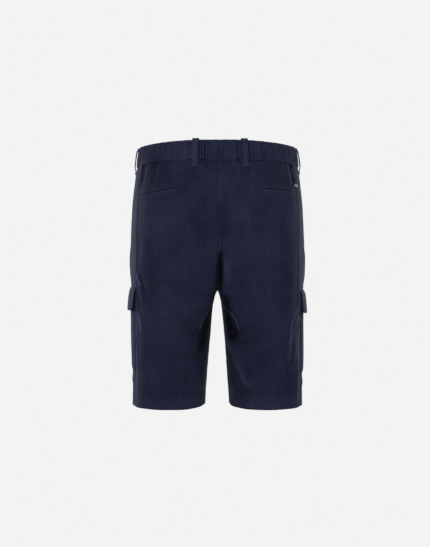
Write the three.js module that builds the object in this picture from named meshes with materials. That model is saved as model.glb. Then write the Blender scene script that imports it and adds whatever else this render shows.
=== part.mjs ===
import * as THREE from "three";

// Cargo bermuda shorts in the form they have when worn, in millimetres.
// +Z is up, +Y is the wearer's front and +X the wearer's right.
// The origin is the centre of the waist opening, level with the band's top edge at the back.

const WALL = 1.6;
const SEAM_GAP = 0.3;
const LAY_GAP = 0.5;
const HEM_Z = -527;
const CROTCH_Z = -293;
const CROTCH_Y = 2;
const SEAT_Z = -190;
const CENTRE_X = SEAM_GAP / 2;
const LEFT = -1;
const RIGHT = 1;

// Waistband: its top edge at the centre back, how much lower that is at the sides, its seam to
// the panels, and how far it stands out of the panels' form.
const BAND_TOP = 0.3;
const BAND_DIP = 3.4;
const BAND_SEAM = -40;
const BAND_PROUD = 1.0;
const ELASTIC_SHARE = 0.6;
const GATHER_PITCH = 9.2;
const GATHER_HEIGHT = 1.7;

// Horizontal sections of the right half: side is the largest X, back and front the extreme Y,
// backPeak and frontPeak the X where these are reached, seam the Y of the side seam.
const SECTIONS = [
  { z: 6, side: 161, back: -115.5, front: 110, backPeak: 20, frontPeak: 20, seam: -55 },
  { z: -20, side: 163, back: -117.5, front: 112, backPeak: 24, frontPeak: 22, seam: -58 },
  { z: -40, side: 166, back: -120.5, front: 114.5, backPeak: 30, frontPeak: 26, seam: -61 },
  { z: -68, side: 170.2, back: -126, front: 118, backPeak: 42, frontPeak: 32, seam: -68 },
  { z: -105, side: 175, back: -131.5, front: 120.5, backPeak: 56, frontPeak: 40, seam: -75 },
  { z: -155, side: 177.8, back: -137, front: 121, backPeak: 70, frontPeak: 52, seam: -84 },
  { z: -205, side: 179, back: -139, front: 119.5, backPeak: 80, frontPeak: 66, seam: -90 },
  { z: -243, side: 179.2, back: -137, front: 117, backPeak: 87, frontPeak: 78, seam: -91 },
  { z: -293, side: 177.4, back: -131, front: 111.5, backPeak: 93, frontPeak: 90, seam: -87 },
  { z: -343, side: 176, back: -121, front: 103, backPeak: 97, frontPeak: 96, seam: -79 },
  { z: -418, side: 175.2, back: -107, front: 90.5, backPeak: 98, frontPeak: 99, seam: -69 },
  { z: -468, side: 175.4, back: -98.5, front: 83.5, backPeak: 96.5, frontPeak: 98, seam: -64 },
  { z: -528, side: 175.6, back: -90, front: 77, backPeak: 93, frontPeak: 96, seam: -58 },
];

// The centre seams above the seat, where the halves meet in a shallow valley.
const CENTRE_LINE = [
  { z: 6, back: -115, front: 109.6 },
  { z: -40, back: -119.6, front: 114 },
  { z: -105, back: -129.6, front: 119.4 },
  { z: -155, back: -134, front: 118 },
  { z: -190, back: -135, front: 114 },
];

// How the half section turns in towards the centre: bend is its squareness, crease the sharpness
// of the valley in the middle.
const TURNS = [
  { z: 6, bend: 2.4, crease: 1 },
  { z: -150, bend: 2.65, crease: 1 },
  { z: -190, bend: 2.8, crease: 1 },
  { z: -240, bend: 3.6, crease: 2.2 },
  { z: -268, bend: 5, crease: 4.4 },
  { z: -293, bend: 6.4, crease: 6.4 },
  { z: -312, bend: 4.6, crease: 4.6 },
  { z: -343, bend: 3.1, crease: 3.1 },
  { z: -380, bend: 2.5, crease: 2.5 },
  { z: -528, bend: 2.2, crease: 2.2 },
];

// Distance of each leg's inner line from the middle.
const INNER_LINE = [
  { z: -293, left: 0.4, right: 0.3 },
  { z: -296, left: 3.2, right: 2.2 },
  { z: -303, left: 6.4, right: 4.8 },
  { z: -315, left: 9.2, right: 7.6 },
  { z: -343, left: 11.8, right: 10.2 },
  { z: -380, left: 14.6, right: 14 },
  { z: -430, left: 19, right: 17.8 },
  { z: -480, left: 23, right: 21 },
  { z: -528, left: 26.4, right: 24.6 },
];

// The right leg hangs a little closer at mid thigh.
const RIGHT_TRIM = { z: -352, size: 1.5, reach: 58 };

// Broad folds as soft ridges (positive) and troughs between two points seen from behind or in front.
const FOLDS = [
  { face: "back", half: LEFT, x0: 10, z0: -300, x1: 44, z1: -405, width: 9, height: 2.4 },
  { face: "back", half: LEFT, x0: 22, z0: -330, x1: 30, z1: -420, width: 11, height: -2.6 },
  { face: "back", half: LEFT, x0: 150, z0: -262, x1: 118, z1: -330, width: 12, height: -1.2 },
  { face: "back", half: RIGHT, x0: 8, z0: -300, x1: 50, z1: -380, width: 9, height: 2.4 },
  { face: "back", half: RIGHT, x0: 16, z0: -318, x1: 32, z1: -372, width: 11, height: -2.6 },
  { face: "back", half: RIGHT, x0: 20, z0: -392, x1: 58, z1: -480, width: 7, height: 1.8 },
  { face: "back", half: RIGHT, x0: 158, z0: -330, x1: 148, z1: -420, width: 8, height: 1.4 },
  { face: "front", half: LEFT, x0: 12, z0: -288, x1: 60, z1: -372, width: 11, height: 2 },
  { face: "front", half: RIGHT, x0: 12, z0: -286, x1: 66, z1: -360, width: 11, height: 2.2 },
  { face: "front", half: LEFT, x0: 40, z0: -235, x1: 110, z1: -262, width: 11, height: -1.4 },
  { face: "front", half: RIGHT, x0: 36, z0: -240, x1: 104, z1: -270, width: 11, height: -1.3 },
];

// Belt loops: share is the way round the half waist from the centre back to the centre front.
const LOOP_WIDTH = 13.5;
const LOOP_WALL = 1.5;
const LOOPS = [
  { name: "belt_loop_back_left", half: LEFT, share: 0.0935, lift: 4.3 },
  { name: "belt_loop_back_right", half: RIGHT, share: 0.1135, lift: 4.3 },
  { name: "belt_loop_side_left", half: LEFT, share: 0.487, lift: 4.3 },
  { name: "belt_loop_side_right", half: RIGHT, share: 0.487, lift: 4.3 },
  { name: "belt_loop_front_left", half: LEFT, share: 0.8, lift: 4.3 },
  { name: "belt_loop_front_right", half: RIGHT, share: 0.8, lift: 4.3 },
];
const LOOP_PATH = [
  { z: -54, lift: 0 },
  { z: -47.5, lift: 0 },
  { z: -44.5, lift: 0.36 },
  { z: -41, lift: 0.76 },
  { z: -36, lift: 0.95 },
  { z: -28, lift: 1 },
  { z: -12, lift: 1 },
  { z: -7, lift: 0.94 },
  { z: -3.8, lift: 0.72 },
  { z: -1.4, lift: 0.4 },
  { z: 0.4, lift: 0.26 },
  { z: 2.8, lift: 0.22 },
];

// Back pockets: the mouth of each runs between two points and its welt hangs below.
const WELT_HEIGHT = 12;
const WELT_WALL = 1.1;
const WELTS = [
  { name: "back_welt_left", half: LEFT, x0: 81, z0: -94.5, x1: 156.5, z1: -104.5, sag: 1.2 },
  { name: "back_welt_right", half: RIGHT, x0: 88.5, z0: -96.2, x1: 157, z1: -97.2, sag: 0.4 },
];

// Cargo pockets in front of the side seams, and the flaps over them: rear is the distance of the
// rear edge from the seam, round the leg, and foreColumn the column of the grid at the fore edge.
const POCKET = { top: -303, bottom: -454, rear: 3, foreColumn: 30.5, wall: 1.4, puff: 1.6 };
const FLAP = { top: -286, bottom: -332, rear: 1, foreColumn: 30.5, wall: 1.7, lift: 7.2 };
// The right pocket is sewn on lower and further from the seam.
const CARGO_PLACE = {
  left: { drop: 0, forward: 0 },
  right: { drop: -6, forward: 9 },
};

const PLAQUE = { x: 153.6, z: -84.7, length: 15.5, height: 5.4, wall: 1.2 };
const FLY = { width: 38, top: -42, bottom: -205, wall: 1.1 };
const BUTTON = { x: -15, z: -20, radius: 8.5, wall: 2.6 };

const BACK_COLUMNS = 24;
const FRONT_COLUMNS = 17;
const LAST_COLUMN = BACK_COLUMNS + FRONT_COLUMNS;
const BODY_ROWS = 16;
const LEG_ROWS = [-297, -304, -314, -328, -345, -366, -390, -416, -444, -472, -500, HEM_Z];

const mix = (a, b, t) => a + (b - a) * t;
const clamp = (v, low, high) => Math.min(high, Math.max(low, v));
const bell = (d, width) => Math.exp(-((d / width) ** 2));

function smooth(low, high, v) {
  const t = clamp((v - low) / (high - low), 0, 1);
  return t * t * (3 - 2 * t);
}

// One column of a table with falling z, through its rows as a smooth curve.
function read(table, key, z) {
  const last = table.length - 1;
  if (z >= table[0].z) return table[0][key];
  if (z <= table[last].z) return table[last][key];
  let i = 0;
  while (table[i + 1].z > z) i += 1;
  const slope = (k) => {
    const a = Math.max(0, k - 1);
    const b = Math.min(last, k + 1);
    return (table[b][key] - table[a][key]) / (table[b].z - table[a].z);
  };
  const span = table[i + 1].z - table[i].z;
  const t = (z - table[i].z) / span;
  const s = 1 - t;
  const start = table[i][key] * (1 + 2 * t) * s * s + slope(i) * span * t * s * s;
  const end = table[i + 1][key] * (1 + 2 * s) * t * t - slope(i + 1) * span * s * t * t;
  return start + end;
}

// Y of the centre seam at a height: down to the seat from the table, then round to the crotch.
function centreY(face, z) {
  if (z >= SEAT_Z) return read(CENTRE_LINE, face, z);
  if (z <= CROTCH_Z) return CROTCH_Y;
  const seat = read(CENTRE_LINE, face, SEAT_Z);
  const drop = (SEAT_Z - z) / (SEAT_Z - CROTCH_Z);
  return CROTCH_Y + (seat - CROTCH_Y) * (1 - drop ** 2.3) ** (1 / 2.3);
}

function innerX(half, z) {
  if (z >= CROTCH_Z) return CENTRE_X;
  return read(INNER_LINE, half === LEFT ? "left" : "right", z);
}

// A quarter turn from (x0, y0) to (x1, y1) that leaves along Y and arrives along X.
function quarter(x0, y0, x1, y1, bend, crease, steps) {
  const points = [];
  for (let k = 0; k <= steps; k += 1) {
    const t = k / steps;
    const ease = t ** 3 / (t ** 3 + (1 - t) ** 3);
    const angle = (Math.PI / 2) * ease;
    const across = 1 - Math.max(0, Math.cos(angle)) ** (2 / bend);
    const along = Math.sin(angle) ** (2 / crease);
    points.push({ x: mix(x0, x1, across), y: mix(y0, y1, along) });
  }
  return points;
}

// The half section at a height as a dense line from the centre back round to the centre front.
const sectionStore = new Map();
function sectionAt(half, z) {
  const key = half + ":" + z.toFixed(3);
  if (sectionStore.has(key)) return sectionStore.get(key);
  const get = (name) => read(SECTIONS, name, z);
  const inner = innerX(half, z);
  const bend = read(TURNS, "bend", z);
  const crease = read(TURNS, "crease", z);
  const round = 2.25;
  const trim = half === RIGHT ? RIGHT_TRIM.size * bell(z - RIGHT_TRIM.z, RIGHT_TRIM.reach) : 0;
  const side = get("side") - trim;
  const back = quarter(
    inner, centreY("back", z), get("backPeak"), get("back"), bend, crease, 70);
  const rear = quarter(side, 0, get("backPeak"), get("back"), round, round, 50).reverse();
  const fore = quarter(side, 0, get("frontPeak"), get("front"), round, round, 50);
  const front = quarter(
    inner, centreY("front", z), get("frontPeak"), get("front"), bend, crease, 70).reverse();
  const line = [...back, ...rear.slice(1), ...fore.slice(1), ...front.slice(1)];
  let length = 0;
  line.forEach((p, i) => {
    if (i) length += Math.hypot(p.x - line[i - 1].x, p.y - line[i - 1].y);
    p.way = length;
  });
  line.forEach((p) => {
    p.share = p.way / length;
  });
  const seamY = get("seam");
  let cut = back.length;
  while (line[cut].y < seamY) cut += 1;
  const t = (seamY - line[cut - 1].y) / (line[cut].y - line[cut - 1].y);
  const seam = between(line[cut - 1], line[cut], t);
  const section = {
    whole: line,
    back: [...line.slice(0, cut), seam],
    front: [seam, ...line.slice(cut)],
    cling: z > CROTCH_Z ? smooth(1.2, 3.2, crease) : 1,
  };
  sectionStore.set(key, section);
  return section;
}

function between(a, b, t) {
  return {
    x: mix(a.x, b.x, t),
    y: mix(a.y, b.y, t),
    way: mix(a.way, b.way, t),
    share: mix(a.share, b.share, t),
  };
}

// Points at even steps along a line, closer together where the line bends. Cling says how much
// they gather at the bend into the centre seam.
function spread(line, count, cling) {
  const BEND_LENGTH = 42;
  const SEAM_REACH = 12;
  const reach = [0];
  const turn = (i) => {
    if (i <= 0 || i >= line.length - 1) return 0;
    const a = Math.atan2(line[i].y - line[i - 1].y, line[i].x - line[i - 1].x);
    const b = Math.atan2(line[i + 1].y - line[i].y, line[i + 1].x - line[i].x);
    const weight = line[i].x < SEAM_REACH ? cling : 1;
    return weight * Math.abs(Math.atan2(Math.sin(b - a), Math.cos(b - a)));
  };
  for (let i = 1; i < line.length; i += 1) {
    const step = Math.hypot(line[i].x - line[i - 1].x, line[i].y - line[i - 1].y);
    reach.push(reach[i - 1] + step + (BEND_LENGTH * (turn(i - 1) + turn(i))) / 2);
  }
  const points = [];
  let i = 1;
  for (let k = 0; k <= count; k += 1) {
    const target = (reach[reach.length - 1] * k) / count;
    while (i < line.length - 1 && reach[i] < target) i += 1;
    const t = clamp((target - reach[i - 1]) / Math.max(1e-9, reach[i] - reach[i - 1]), 0, 1);
    points.push(between(line[i - 1], line[i], t));
  }
  return points;
}

const columnStore = new Map();
function columnsAt(half, z) {
  const key = half + ":" + z.toFixed(3);
  if (!columnStore.has(key)) {
    const section = sectionAt(half, z);
    const back = spread(section.back, BACK_COLUMNS, section.cling);
    const front = spread(section.front, FRONT_COLUMNS, section.cling);
    columnStore.set(key, [...back, ...front.slice(1)]);
  }
  return columnStore.get(key);
}

// Heights where the rows meet the centre seam: even steps along the rise down to the crotch.
function riseHeights(face) {
  const STEPS = 400;
  const top = BAND_SEAM - SEAM_GAP;
  const line = [];
  let way = 0;
  for (let k = 0; k <= STEPS; k += 1) {
    const turn = (Math.PI / 2) * (k / STEPS);
    const z = mix(top, CROTCH_Z, Math.sin(turn));
    const y = centreY(face, z);
    if (k) way += Math.hypot(y - line[k - 1].y, z - line[k - 1].z);
    line.push({ y, z, way });
  }
  const heights = [];
  let i = 1;
  for (let r = 0; r <= BODY_ROWS; r += 1) {
    const target = (way * r) / BODY_ROWS;
    while (i < STEPS && line[i].way < target) i += 1;
    const t = (target - line[i - 1].way) / (line[i].way - line[i - 1].way);
    heights.push(mix(line[i - 1].z, line[i].z, clamp(t, 0, 1)));
  }
  return heights;
}

// The height of each grid point: level at the side, dipping to the rise at the centre seams.
function gridHeights() {
  const back = riseHeights("back");
  const front = riseHeights("front");
  const rows = [];
  for (let r = 0; r <= BODY_ROWS; r += 1) {
    const level = mix(BAND_SEAM - SEAM_GAP, CROTCH_Z, r / BODY_ROWS);
    const row = [];
    for (let c = 0; c <= LAST_COLUMN; c += 1) {
      const isBack = c <= BACK_COLUMNS;
      const near = isBack ? 1 - c / BACK_COLUMNS : (c - BACK_COLUMNS) / FRONT_COLUMNS;
      row.push(mix(level, isBack ? back[r] : front[r], near ** 2));
    }
    rows.push(row);
  }
  LEG_ROWS.forEach((z) => rows.push(new Array(LAST_COLUMN + 1).fill(z)));
  return rows;
}

// Calm of the gathers where a belt loop holds the cloth flat.
function loopCalm(half, share) {
  const HALF_WAIST = 450;
  return LOOPS.filter((loop) => loop.half === half).reduce(
    (calm, loop) => Math.min(calm, 1 - 0.92 * bell((share - loop.share) * HALF_WAIST, 11)),
    1,
  );
}

// Outward relief of the panels: gathers that die away below the band, and the broad folds.
function relief(half, p) {
  const fade = 1 - smooth(-48, -112, p.z) * 1;
  const below = p.z > -112 ? 1 - smooth(0, 1, (-44 - p.z) / 68) : 0;
  const around = (1 - smooth(ELASTIC_SHARE - 0.06, ELASTIC_SHARE + 0.03, p.share)) * fade;
  const ripple = Math.sin(p.share * 88 + half * 0.8) * (1 + 0.5 * Math.sin(p.share * 31 + half));
  let out = 0.75 * below * around * ripple * loopCalm(half, p.share);
  for (const fold of FOLDS) {
    if (fold.half !== half || (fold.face === "back") !== p.y < 0) continue;
    const dx = fold.x1 - fold.x0;
    const dz = fold.z1 - fold.z0;
    const size = Math.hypot(dx, dz);
    const along = ((p.x - fold.x0) * dx + (p.z - fold.z0) * dz) / size;
    const off = ((p.x - fold.x0) * dz - (p.z - fold.z0) * dx) / size;
    const ends = smooth(-14, 16, along) * (1 - smooth(size - 30, size + 22, along));
    out += fold.height * ends * bell(off, fold.width) * smooth(0, 45, Math.abs(p.y));
  }
  return out;
}

// Outward normals of a half grid. Above the crotch the centre seams mirror their neighbours;
// below it the two ends of a row are one inner leg seam.
function gridNormals(grid) {
  const last = grid[0].length - 1;
  const crotch = BODY_ROWS;
  const mirrored = (p) => new THREE.Vector3(2 * CENTRE_X - p.x, p.y, p.z);
  return grid.map((row, r) =>
    row.map((p, c) => {
      const up = grid[Math.max(0, r - 1)][c];
      const down = grid[Math.min(grid.length - 1, r + 1)][c];
      let before = row[Math.max(0, c - 1)];
      let after = row[Math.min(last, c + 1)];
      if (r < crotch && c === 0) before = mirrored(row[1]);
      if (r < crotch && c === last) after = mirrored(row[last - 1]);
      if (r >= crotch && c === 0) before = row[last - 1];
      if (r >= crotch && c === last) after = row[1];
      if (r === crotch && (c === 0 || c === last)) return new THREE.Vector3(-0.3, 0, -1).normalize();
      const across = after.clone().sub(before);
      const fall = down.clone().sub(up);
      return fall.cross(across).normalize();
    }),
  );
}

// The outer face of a half of the shorts, and its normals.
function halfGrid(half) {
  const heights = gridHeights();
  const shares = heights.map((row) => row.map((z, c) => columnsAt(half, z)[c].share));
  const base = heights.map((row) =>
    row.map((z, c) => {
      const p = columnsAt(half, z)[c];
      return new THREE.Vector3(p.x, p.y, z);
    }),
  );
  const normals = gridNormals(base);
  const last = base[0].length - 1;
  const outer = base.map((row, r) =>
    row.map((p, c) => {
      const out = relief(half, { x: p.x, y: p.y, z: p.z, share: shares[r][c] });
      const moved = p.clone().addScaledVector(normals[r][c], out);
      moved.z = r === 0 || r === base.length - 1 ? p.z : moved.z;
      moved.x = Math.max(moved.x, c === 0 || c === last ? p.x : CENTRE_X);
      return moved;
    }),
  );
  const ways = outer.map((row) => {
    const way = row.map(() => 0);
    for (let c = BACK_COLUMNS + 1; c <= last; c += 1) {
      way[c] = way[c - 1] + row[c].distanceTo(row[c - 1]);
    }
    for (let c = BACK_COLUMNS - 1; c >= 0; c -= 1) {
      way[c] = way[c + 1] - row[c].distanceTo(row[c + 1]);
    }
    return way;
  });
  return { half, outer, normals: gridNormals(outer), ways };
}

const mirrorFor = (half) => (p) => new THREE.Vector3(p.x * half, p.y, p.z);

// A closed wall between two grids of points, with its faces turned outwards.
function wallMesh(name, outer, inner, color, look = {}) {
  const rows = outer.length;
  const columns = outer[0].length;
  const points = [...outer.flat(), ...inner.flat()];
  const at = (r, c, deep) => (deep ? rows * columns : 0) + r * columns + c;
  const faces = [];
  const quad = (a, b, c, d) => {
    const split = points[a].distanceTo(points[c]) <= points[b].distanceTo(points[d]);
    if (split) faces.push([a, b, c], [a, c, d]);
    else faces.push([a, b, d], [b, c, d]);
  };
  for (let r = 0; r + 1 < rows; r += 1) {
    for (let c = 0; c + 1 < columns; c += 1) {
      quad(at(r, c, 0), at(r, c + 1, 0), at(r + 1, c + 1, 0), at(r + 1, c, 0));
      quad(at(r, c, 1), at(r + 1, c, 1), at(r + 1, c + 1, 1), at(r, c + 1, 1));
    }
  }
  for (let r = 0; r + 1 < rows; r += 1) {
    const c = columns - 1;
    quad(at(r, 0, 0), at(r + 1, 0, 0), at(r + 1, 0, 1), at(r, 0, 1));
    quad(at(r, c, 0), at(r, c, 1), at(r + 1, c, 1), at(r + 1, c, 0));
  }
  for (let c = 0; c + 1 < columns; c += 1) {
    const r = rows - 1;
    quad(at(0, c, 0), at(0, c, 1), at(0, c + 1, 1), at(0, c + 1, 0));
    quad(at(r, c, 0), at(r, c + 1, 0), at(r, c + 1, 1), at(r, c, 1));
  }
  return solid(name, points, faces, color, look);
}

function solid(name, points, faces, color, look = {}) {
  let volume = 0;
  for (const [a, b, c] of faces) {
    volume += points[a].dot(points[b].clone().cross(points[c])) / 6;
  }
  const index = volume < 0 ? faces.map(([a, b, c]) => [a, c, b]) : faces;
  const geometry = new THREE.BufferGeometry().setFromPoints(points);
  geometry.setIndex(index.flat());
  geometry.computeVertexNormals();
  const material = new THREE.MeshStandardMaterial({ color, roughness: 0.85, ...look });
  const mesh = new THREE.Mesh(geometry, material);
  mesh.name = name;
  return mesh;
}

// A panel is a range of columns of the half grid, each edge drawn back by half the seam gap.
function panel(name, grid, first, last, color) {
  const trim = (row, r) => {
    const cut = row.slice(first, last + 1).map((p) => p.clone());
    const end = cut.length - 1;
    const draw = (a, b) => a.addScaledVector(b.clone().sub(a).normalize(), SEAM_GAP / 2);
    const centreEnd = first === 0 ? 0 : end;
    if (r >= BODY_ROWS || centreEnd !== 0) draw(cut[0], cut[1]);
    if (r >= BODY_ROWS || centreEnd !== end) draw(cut[end], cut[end - 1]);
    return cut;
  };
  const deep = grid.outer.map((row, r) =>
    row.map((p, c) => {
      const q = p.clone().addScaledVector(grid.normals[r][c], -WALL);
      q.x = Math.max(q.x, CENTRE_X);
      if (r === 0 || r === grid.outer.length - 1) q.z = p.z;
      return q;
    }),
  );
  const place = mirrorFor(grid.half);
  const outer = grid.outer.map(trim).map((row) => row.map(place));
  const inner = deep.map(trim).map((row) => row.map(place));
  return wallMesh(name, outer, inner, color);
}

// A point and its normal on the grid between its rows and columns.
function onGrid(grid, r, c) {
  const r0 = clamp(Math.floor(r), 0, grid.outer.length - 2);
  const c0 = clamp(Math.floor(c), 0, grid.outer[0].length - 2);
  const blend = (field) => {
    const top = field[r0][c0].clone().lerp(field[r0][c0 + 1], c - c0);
    const foot = field[r0 + 1][c0].clone().lerp(field[r0 + 1][c0 + 1], c - c0);
    return top.lerp(foot, r - r0);
  };
  const { ways } = grid;
  const top = mix(ways[r0][c0], ways[r0][c0 + 1], c - c0);
  const foot = mix(ways[r0 + 1][c0], ways[r0 + 1][c0 + 1], c - c0);
  const point = blend(grid.outer);
  return { point, normal: blend(grid.normals).normalize(), x: point.x, way: mix(top, foot, r - r0) };
}

// Finds the grid place with a given z. The axis says what else is given: back or front with an X,
// the way round from the side seam, or the column itself.
const SEARCH_COLUMNS = {
  back: { key: "x", first: 0, last: BACK_COLUMNS },
  front: { key: "x", first: LAST_COLUMN, last: BACK_COLUMNS + 6 },
  way: { key: "way", first: BACK_COLUMNS - 2, last: LAST_COLUMN - 2 },
};
function findOnGrid(grid, axis, value, z) {
  const half = (low, high, isBefore) => {
    for (let k = 0; k < 26; k += 1) {
      const middle = (low + high) / 2;
      if (isBefore(middle)) low = middle;
      else high = middle;
    }
    return (low + high) / 2;
  };
  const rowOf = (c) => half(0, grid.outer.length - 1, (r) => onGrid(grid, r, c).point.z > z);
  if (axis === "column") return onGrid(grid, rowOf(value), value);
  const { key, first, last } = SEARCH_COLUMNS[axis];
  let c = (first + last) / 2;
  let r = rowOf(c);
  for (let step = 0; step < 12; step += 1) {
    c = half(first, last, (at) => onGrid(grid, r, at)[key] < value);
    r = rowOf(c);
  }
  return onGrid(grid, r, c);
}

// A piece that lies on a panel: the panel's own points, moved out.
function laidPiece(name, grid, lines, depths, color, look = {}) {
  const place = mirrorFor(grid.half);
  const outer = [];
  const inner = [];
  lines.forEach((line, r) => {
    const found = line.map((at) => findOnGrid(grid, at.axis, at.value, at.z));
    const lift = (c, wall) => {
      const { low, wall: thick } = depths(r / (lines.length - 1), c / (line.length - 1));
      return found[c].point.clone().addScaledVector(found[c].normal, low + wall * thick);
    };
    outer.push(found.map((_, c) => place(lift(c, 1))));
    inner.push(found.map((_, c) => place(lift(c, 0))));
  });
  return wallMesh(name, outer, inner, color, look);
}

// A point on the waist at a share of the way round a half, with its outward normal.
function onWaist(half, share, z) {
  const find = (height) => {
    const { whole } = sectionAt(half, height);
    let i = 1;
    while (i < whole.length - 1 && whole[i].share < share) i += 1;
    const span = whole[i].share - whole[i - 1].share;
    const p = between(whole[i - 1], whole[i], (share - whole[i - 1].share) / Math.max(1e-9, span));
    return { p, a: whole[Math.max(0, i - 2)], b: whole[Math.min(whole.length - 1, i + 1)] };
  };
  const { p, a, b } = find(z);
  const normal = new THREE.Vector3(b.y - a.y, a.x - b.x, 0).normalize();
  if (p.x < 4) normal.set(0, Math.sign(p.y), 0);
  return { point: new THREE.Vector3(p.x, p.y, z), normal };
}

const SIGNED = (share) => (share < 0 ? LEFT : RIGHT);

// How much lower than at the centre back the band's top edge is at a share of the way round.
const dipAt = (share) => BAND_DIP * smooth(0.04, 0.38, Math.abs(share));

// The gathers of the elastic band: widths and heights that vary from one to the next.
function gatherColumns() {
  const halfWaist = sectionAt(RIGHT, BAND_SEAM / 2).whole.at(-1).way;
  const reach = ELASTIC_SHARE * halfWaist - SEAM_GAP / 2;
  const PROFILE = [
    { part: 0, height: 0 },
    { part: 0.3, height: 0.85 },
    { part: 0.68, height: 0.9 },
  ];
  const columns = [];
  let start = -reach;
  for (let k = 0; start < reach - 4; k += 1) {
    const width = GATHER_PITCH * (1 + 0.2 * Math.sin(k * 2.4) + 0.12 * Math.sin(k * 5.1 + 1));
    const size = GATHER_HEIGHT * (0.72 + 0.28 * Math.sin(k * 1.7 + 0.5));
    const room = start + 1.5 * width > reach ? reach - start : width;
    for (const step of PROFILE) {
      const way = start + room * step.part;
      const share = way / halfWaist;
      const sides = 1 + 0.25 * smooth(0.3, 0.46, Math.abs(share));
      const calm = loopCalm(SIGNED(share), Math.abs(share));
      columns.push({ share, height: size * step.height * sides * calm });
    }
    start += room;
  }
  columns.push({ share: reach / halfWaist, height: 0 });
  return columns;
}

// Rows of the band: how far its face stands out, and how strong the gathers are there.
const BAND_ROWS = [
  { z: BAND_TOP, dips: true, proud: 0.25, gather: 0.55 },
  { z: BAND_TOP - 2.2, dips: true, proud: 0.85, gather: 0.85 },
  { z: -19, proud: 1, gather: 1 },
  { z: BAND_SEAM + 3, proud: 0.95, gather: 0.85 },
  { z: BAND_SEAM, proud: 0.5, gather: 0.6 },
];

function bandMesh(name, columns, color) {
  const levelOf = (row, share) => (row.dips ? row.z - dipAt(share) : row.z);
  const outer = BAND_ROWS.map((row) =>
    columns.map(({ share, height }) => {
      const half = SIGNED(share);
      const { point, normal } = onWaist(half, Math.abs(share), levelOf(row, share));
      const out = BAND_PROUD * row.proud + height * row.gather;
      return mirrorFor(half)(point.addScaledVector(normal, out));
    }),
  );
  const inner = BAND_ROWS.map((row) =>
    columns.map(({ share }) => {
      const half = SIGNED(share);
      const { point, normal } = onWaist(half, Math.abs(share), levelOf(row, share));
      return mirrorFor(half)(point.addScaledVector(normal, -WALL));
    }),
  );
  return wallMesh(name, outer, inner, color);
}

function frontBand(name, half, color) {
  const STEPS = 13;
  const halfWaist = sectionAt(RIGHT, BAND_SEAM / 2).whole.at(-1).way;
  const start = ELASTIC_SHARE + SEAM_GAP / 2 / halfWaist;
  const columns = [];
  for (let k = 0; k <= STEPS; k += 1) {
    columns.push({ share: mix(start, 1, k / STEPS) * half, height: 0 });
  }
  return bandMesh(name, columns, color);
}

// A belt loop: a strap that leaves the panel below the band, stands clear and joins the top edge.
function beltLoop({ name, half, share, lift }, color) {
  const ACROSS = 2;
  const outer = [];
  const inner = [];
  for (const step of LOOP_PATH) {
    const level = step.z - dipAt(share) * smooth(-30, -8, step.z);
    const { point, normal } = onWaist(half, share, level);
    const along = new THREE.Vector3(-normal.y, normal.x, 0);
    const foot = (step.z < BAND_SEAM ? 0.2 : BAND_PROUD + 0.25) + LAY_GAP;
    const low = step.lift === 0 ? LAY_GAP + 0.25 : Math.max(foot, lift * step.lift + LAY_GAP);
    const row = (height) => {
      const points = [];
      for (let k = 0; k <= ACROSS; k += 1) {
        const side = (k / ACROSS - 0.5) * LOOP_WIDTH;
        const p = point.clone().addScaledVector(normal, height).addScaledVector(along, side);
        points.push(mirrorFor(half)(p));
      }
      return points;
    };
    outer.push(row(low + LOOP_WALL));
    inner.push(row(low));
  }
  return wallMesh(name, outer, inner, color);
}

function weltPiece({ name, half, x0, z0, x1, z1, sag }, grid, color) {
  const ALONG = 12;
  const DOWN = 2;
  const lines = [];
  for (let r = 0; r <= DOWN; r += 1) {
    const line = [];
    for (let k = 0; k <= ALONG; k += 1) {
      const t = k / ALONG;
      const mouth = mix(z0, z1, t) - sag * 4 * t * (1 - t);
      const z = mouth - (WELT_HEIGHT * r) / DOWN;
      line.push({ axis: "back", value: mix(x0, x1, t ** 0.9), z });
    }
    lines.push(line);
  }
  return laidPiece(name, grid, lines, () => ({ low: LAY_GAP, wall: WELT_WALL }), color);
}

// Lines across a cargo pocket or flap, from its rear edge beside the seam to its fore edge on a
// column of the panel. Between these it has a point on each column and one halfway.
function cargoLines(grid, box, place, down, corner) {
  const wayOf = (column, z) => findOnGrid(grid, "column", column, z).way;
  const rear = box.rear + place.forward;
  const CLEAR = 2.5;
  let firstColumn = BACK_COLUMNS + 0.5;
  while (wayOf(firstColumn, box.bottom) < rear + CLEAR) firstColumn += 0.5;
  while (wayOf(firstColumn, box.top) < rear + CLEAR) firstColumn += 0.5;
  const lines = [];
  for (let r = 0; r <= down; r += 1) {
    const part = r / down;
    const level = mix(box.top, box.bottom, part) + place.drop;
    const fore = wayOf(box.foreColumn, level);
    const point = (axis, value, way) => {
      const edge = Math.min(way - rear, fore - way);
      const round = corner - Math.sqrt(Math.max(0, corner ** 2 - Math.max(0, corner - edge) ** 2));
      return { axis, value, z: mix(box.top, box.bottom + round, part) + place.drop };
    };
    const line = [point("way", rear, rear)];
    for (let c = firstColumn; c <= box.foreColumn; c += 0.5) {
      line.push(point("column", c, wayOf(c, level)));
    }
    lines.push(line);
  }
  return lines;
}

function cargoPocket(name, grid, place, color) {
  const lines = cargoLines(grid, POCKET, place, 8, 9);
  const depths = (down, across) => {
    const swell = Math.sin(Math.PI * across) * Math.sin(Math.PI * clamp(down, 0, 1)) ** 0.7;
    return { low: LAY_GAP + 0.7 * swell, wall: POCKET.wall + (POCKET.puff - 0.7) * swell };
  };
  return laidPiece(name, grid, lines, depths, color);
}

function cargoFlap(name, grid, place, color) {
  const lines = cargoLines(grid, FLAP, place, 5, 7);
  const depths = (down, across) => ({
    low: LAY_GAP + 0.5 + FLAP.lift * (1 - (1 - down) ** 1.7) * (0.76 + 0.24 * Math.sin(Math.PI * across)),
    wall: FLAP.wall,
  });
  return laidPiece(name, grid, lines, depths, color);
}

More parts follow.
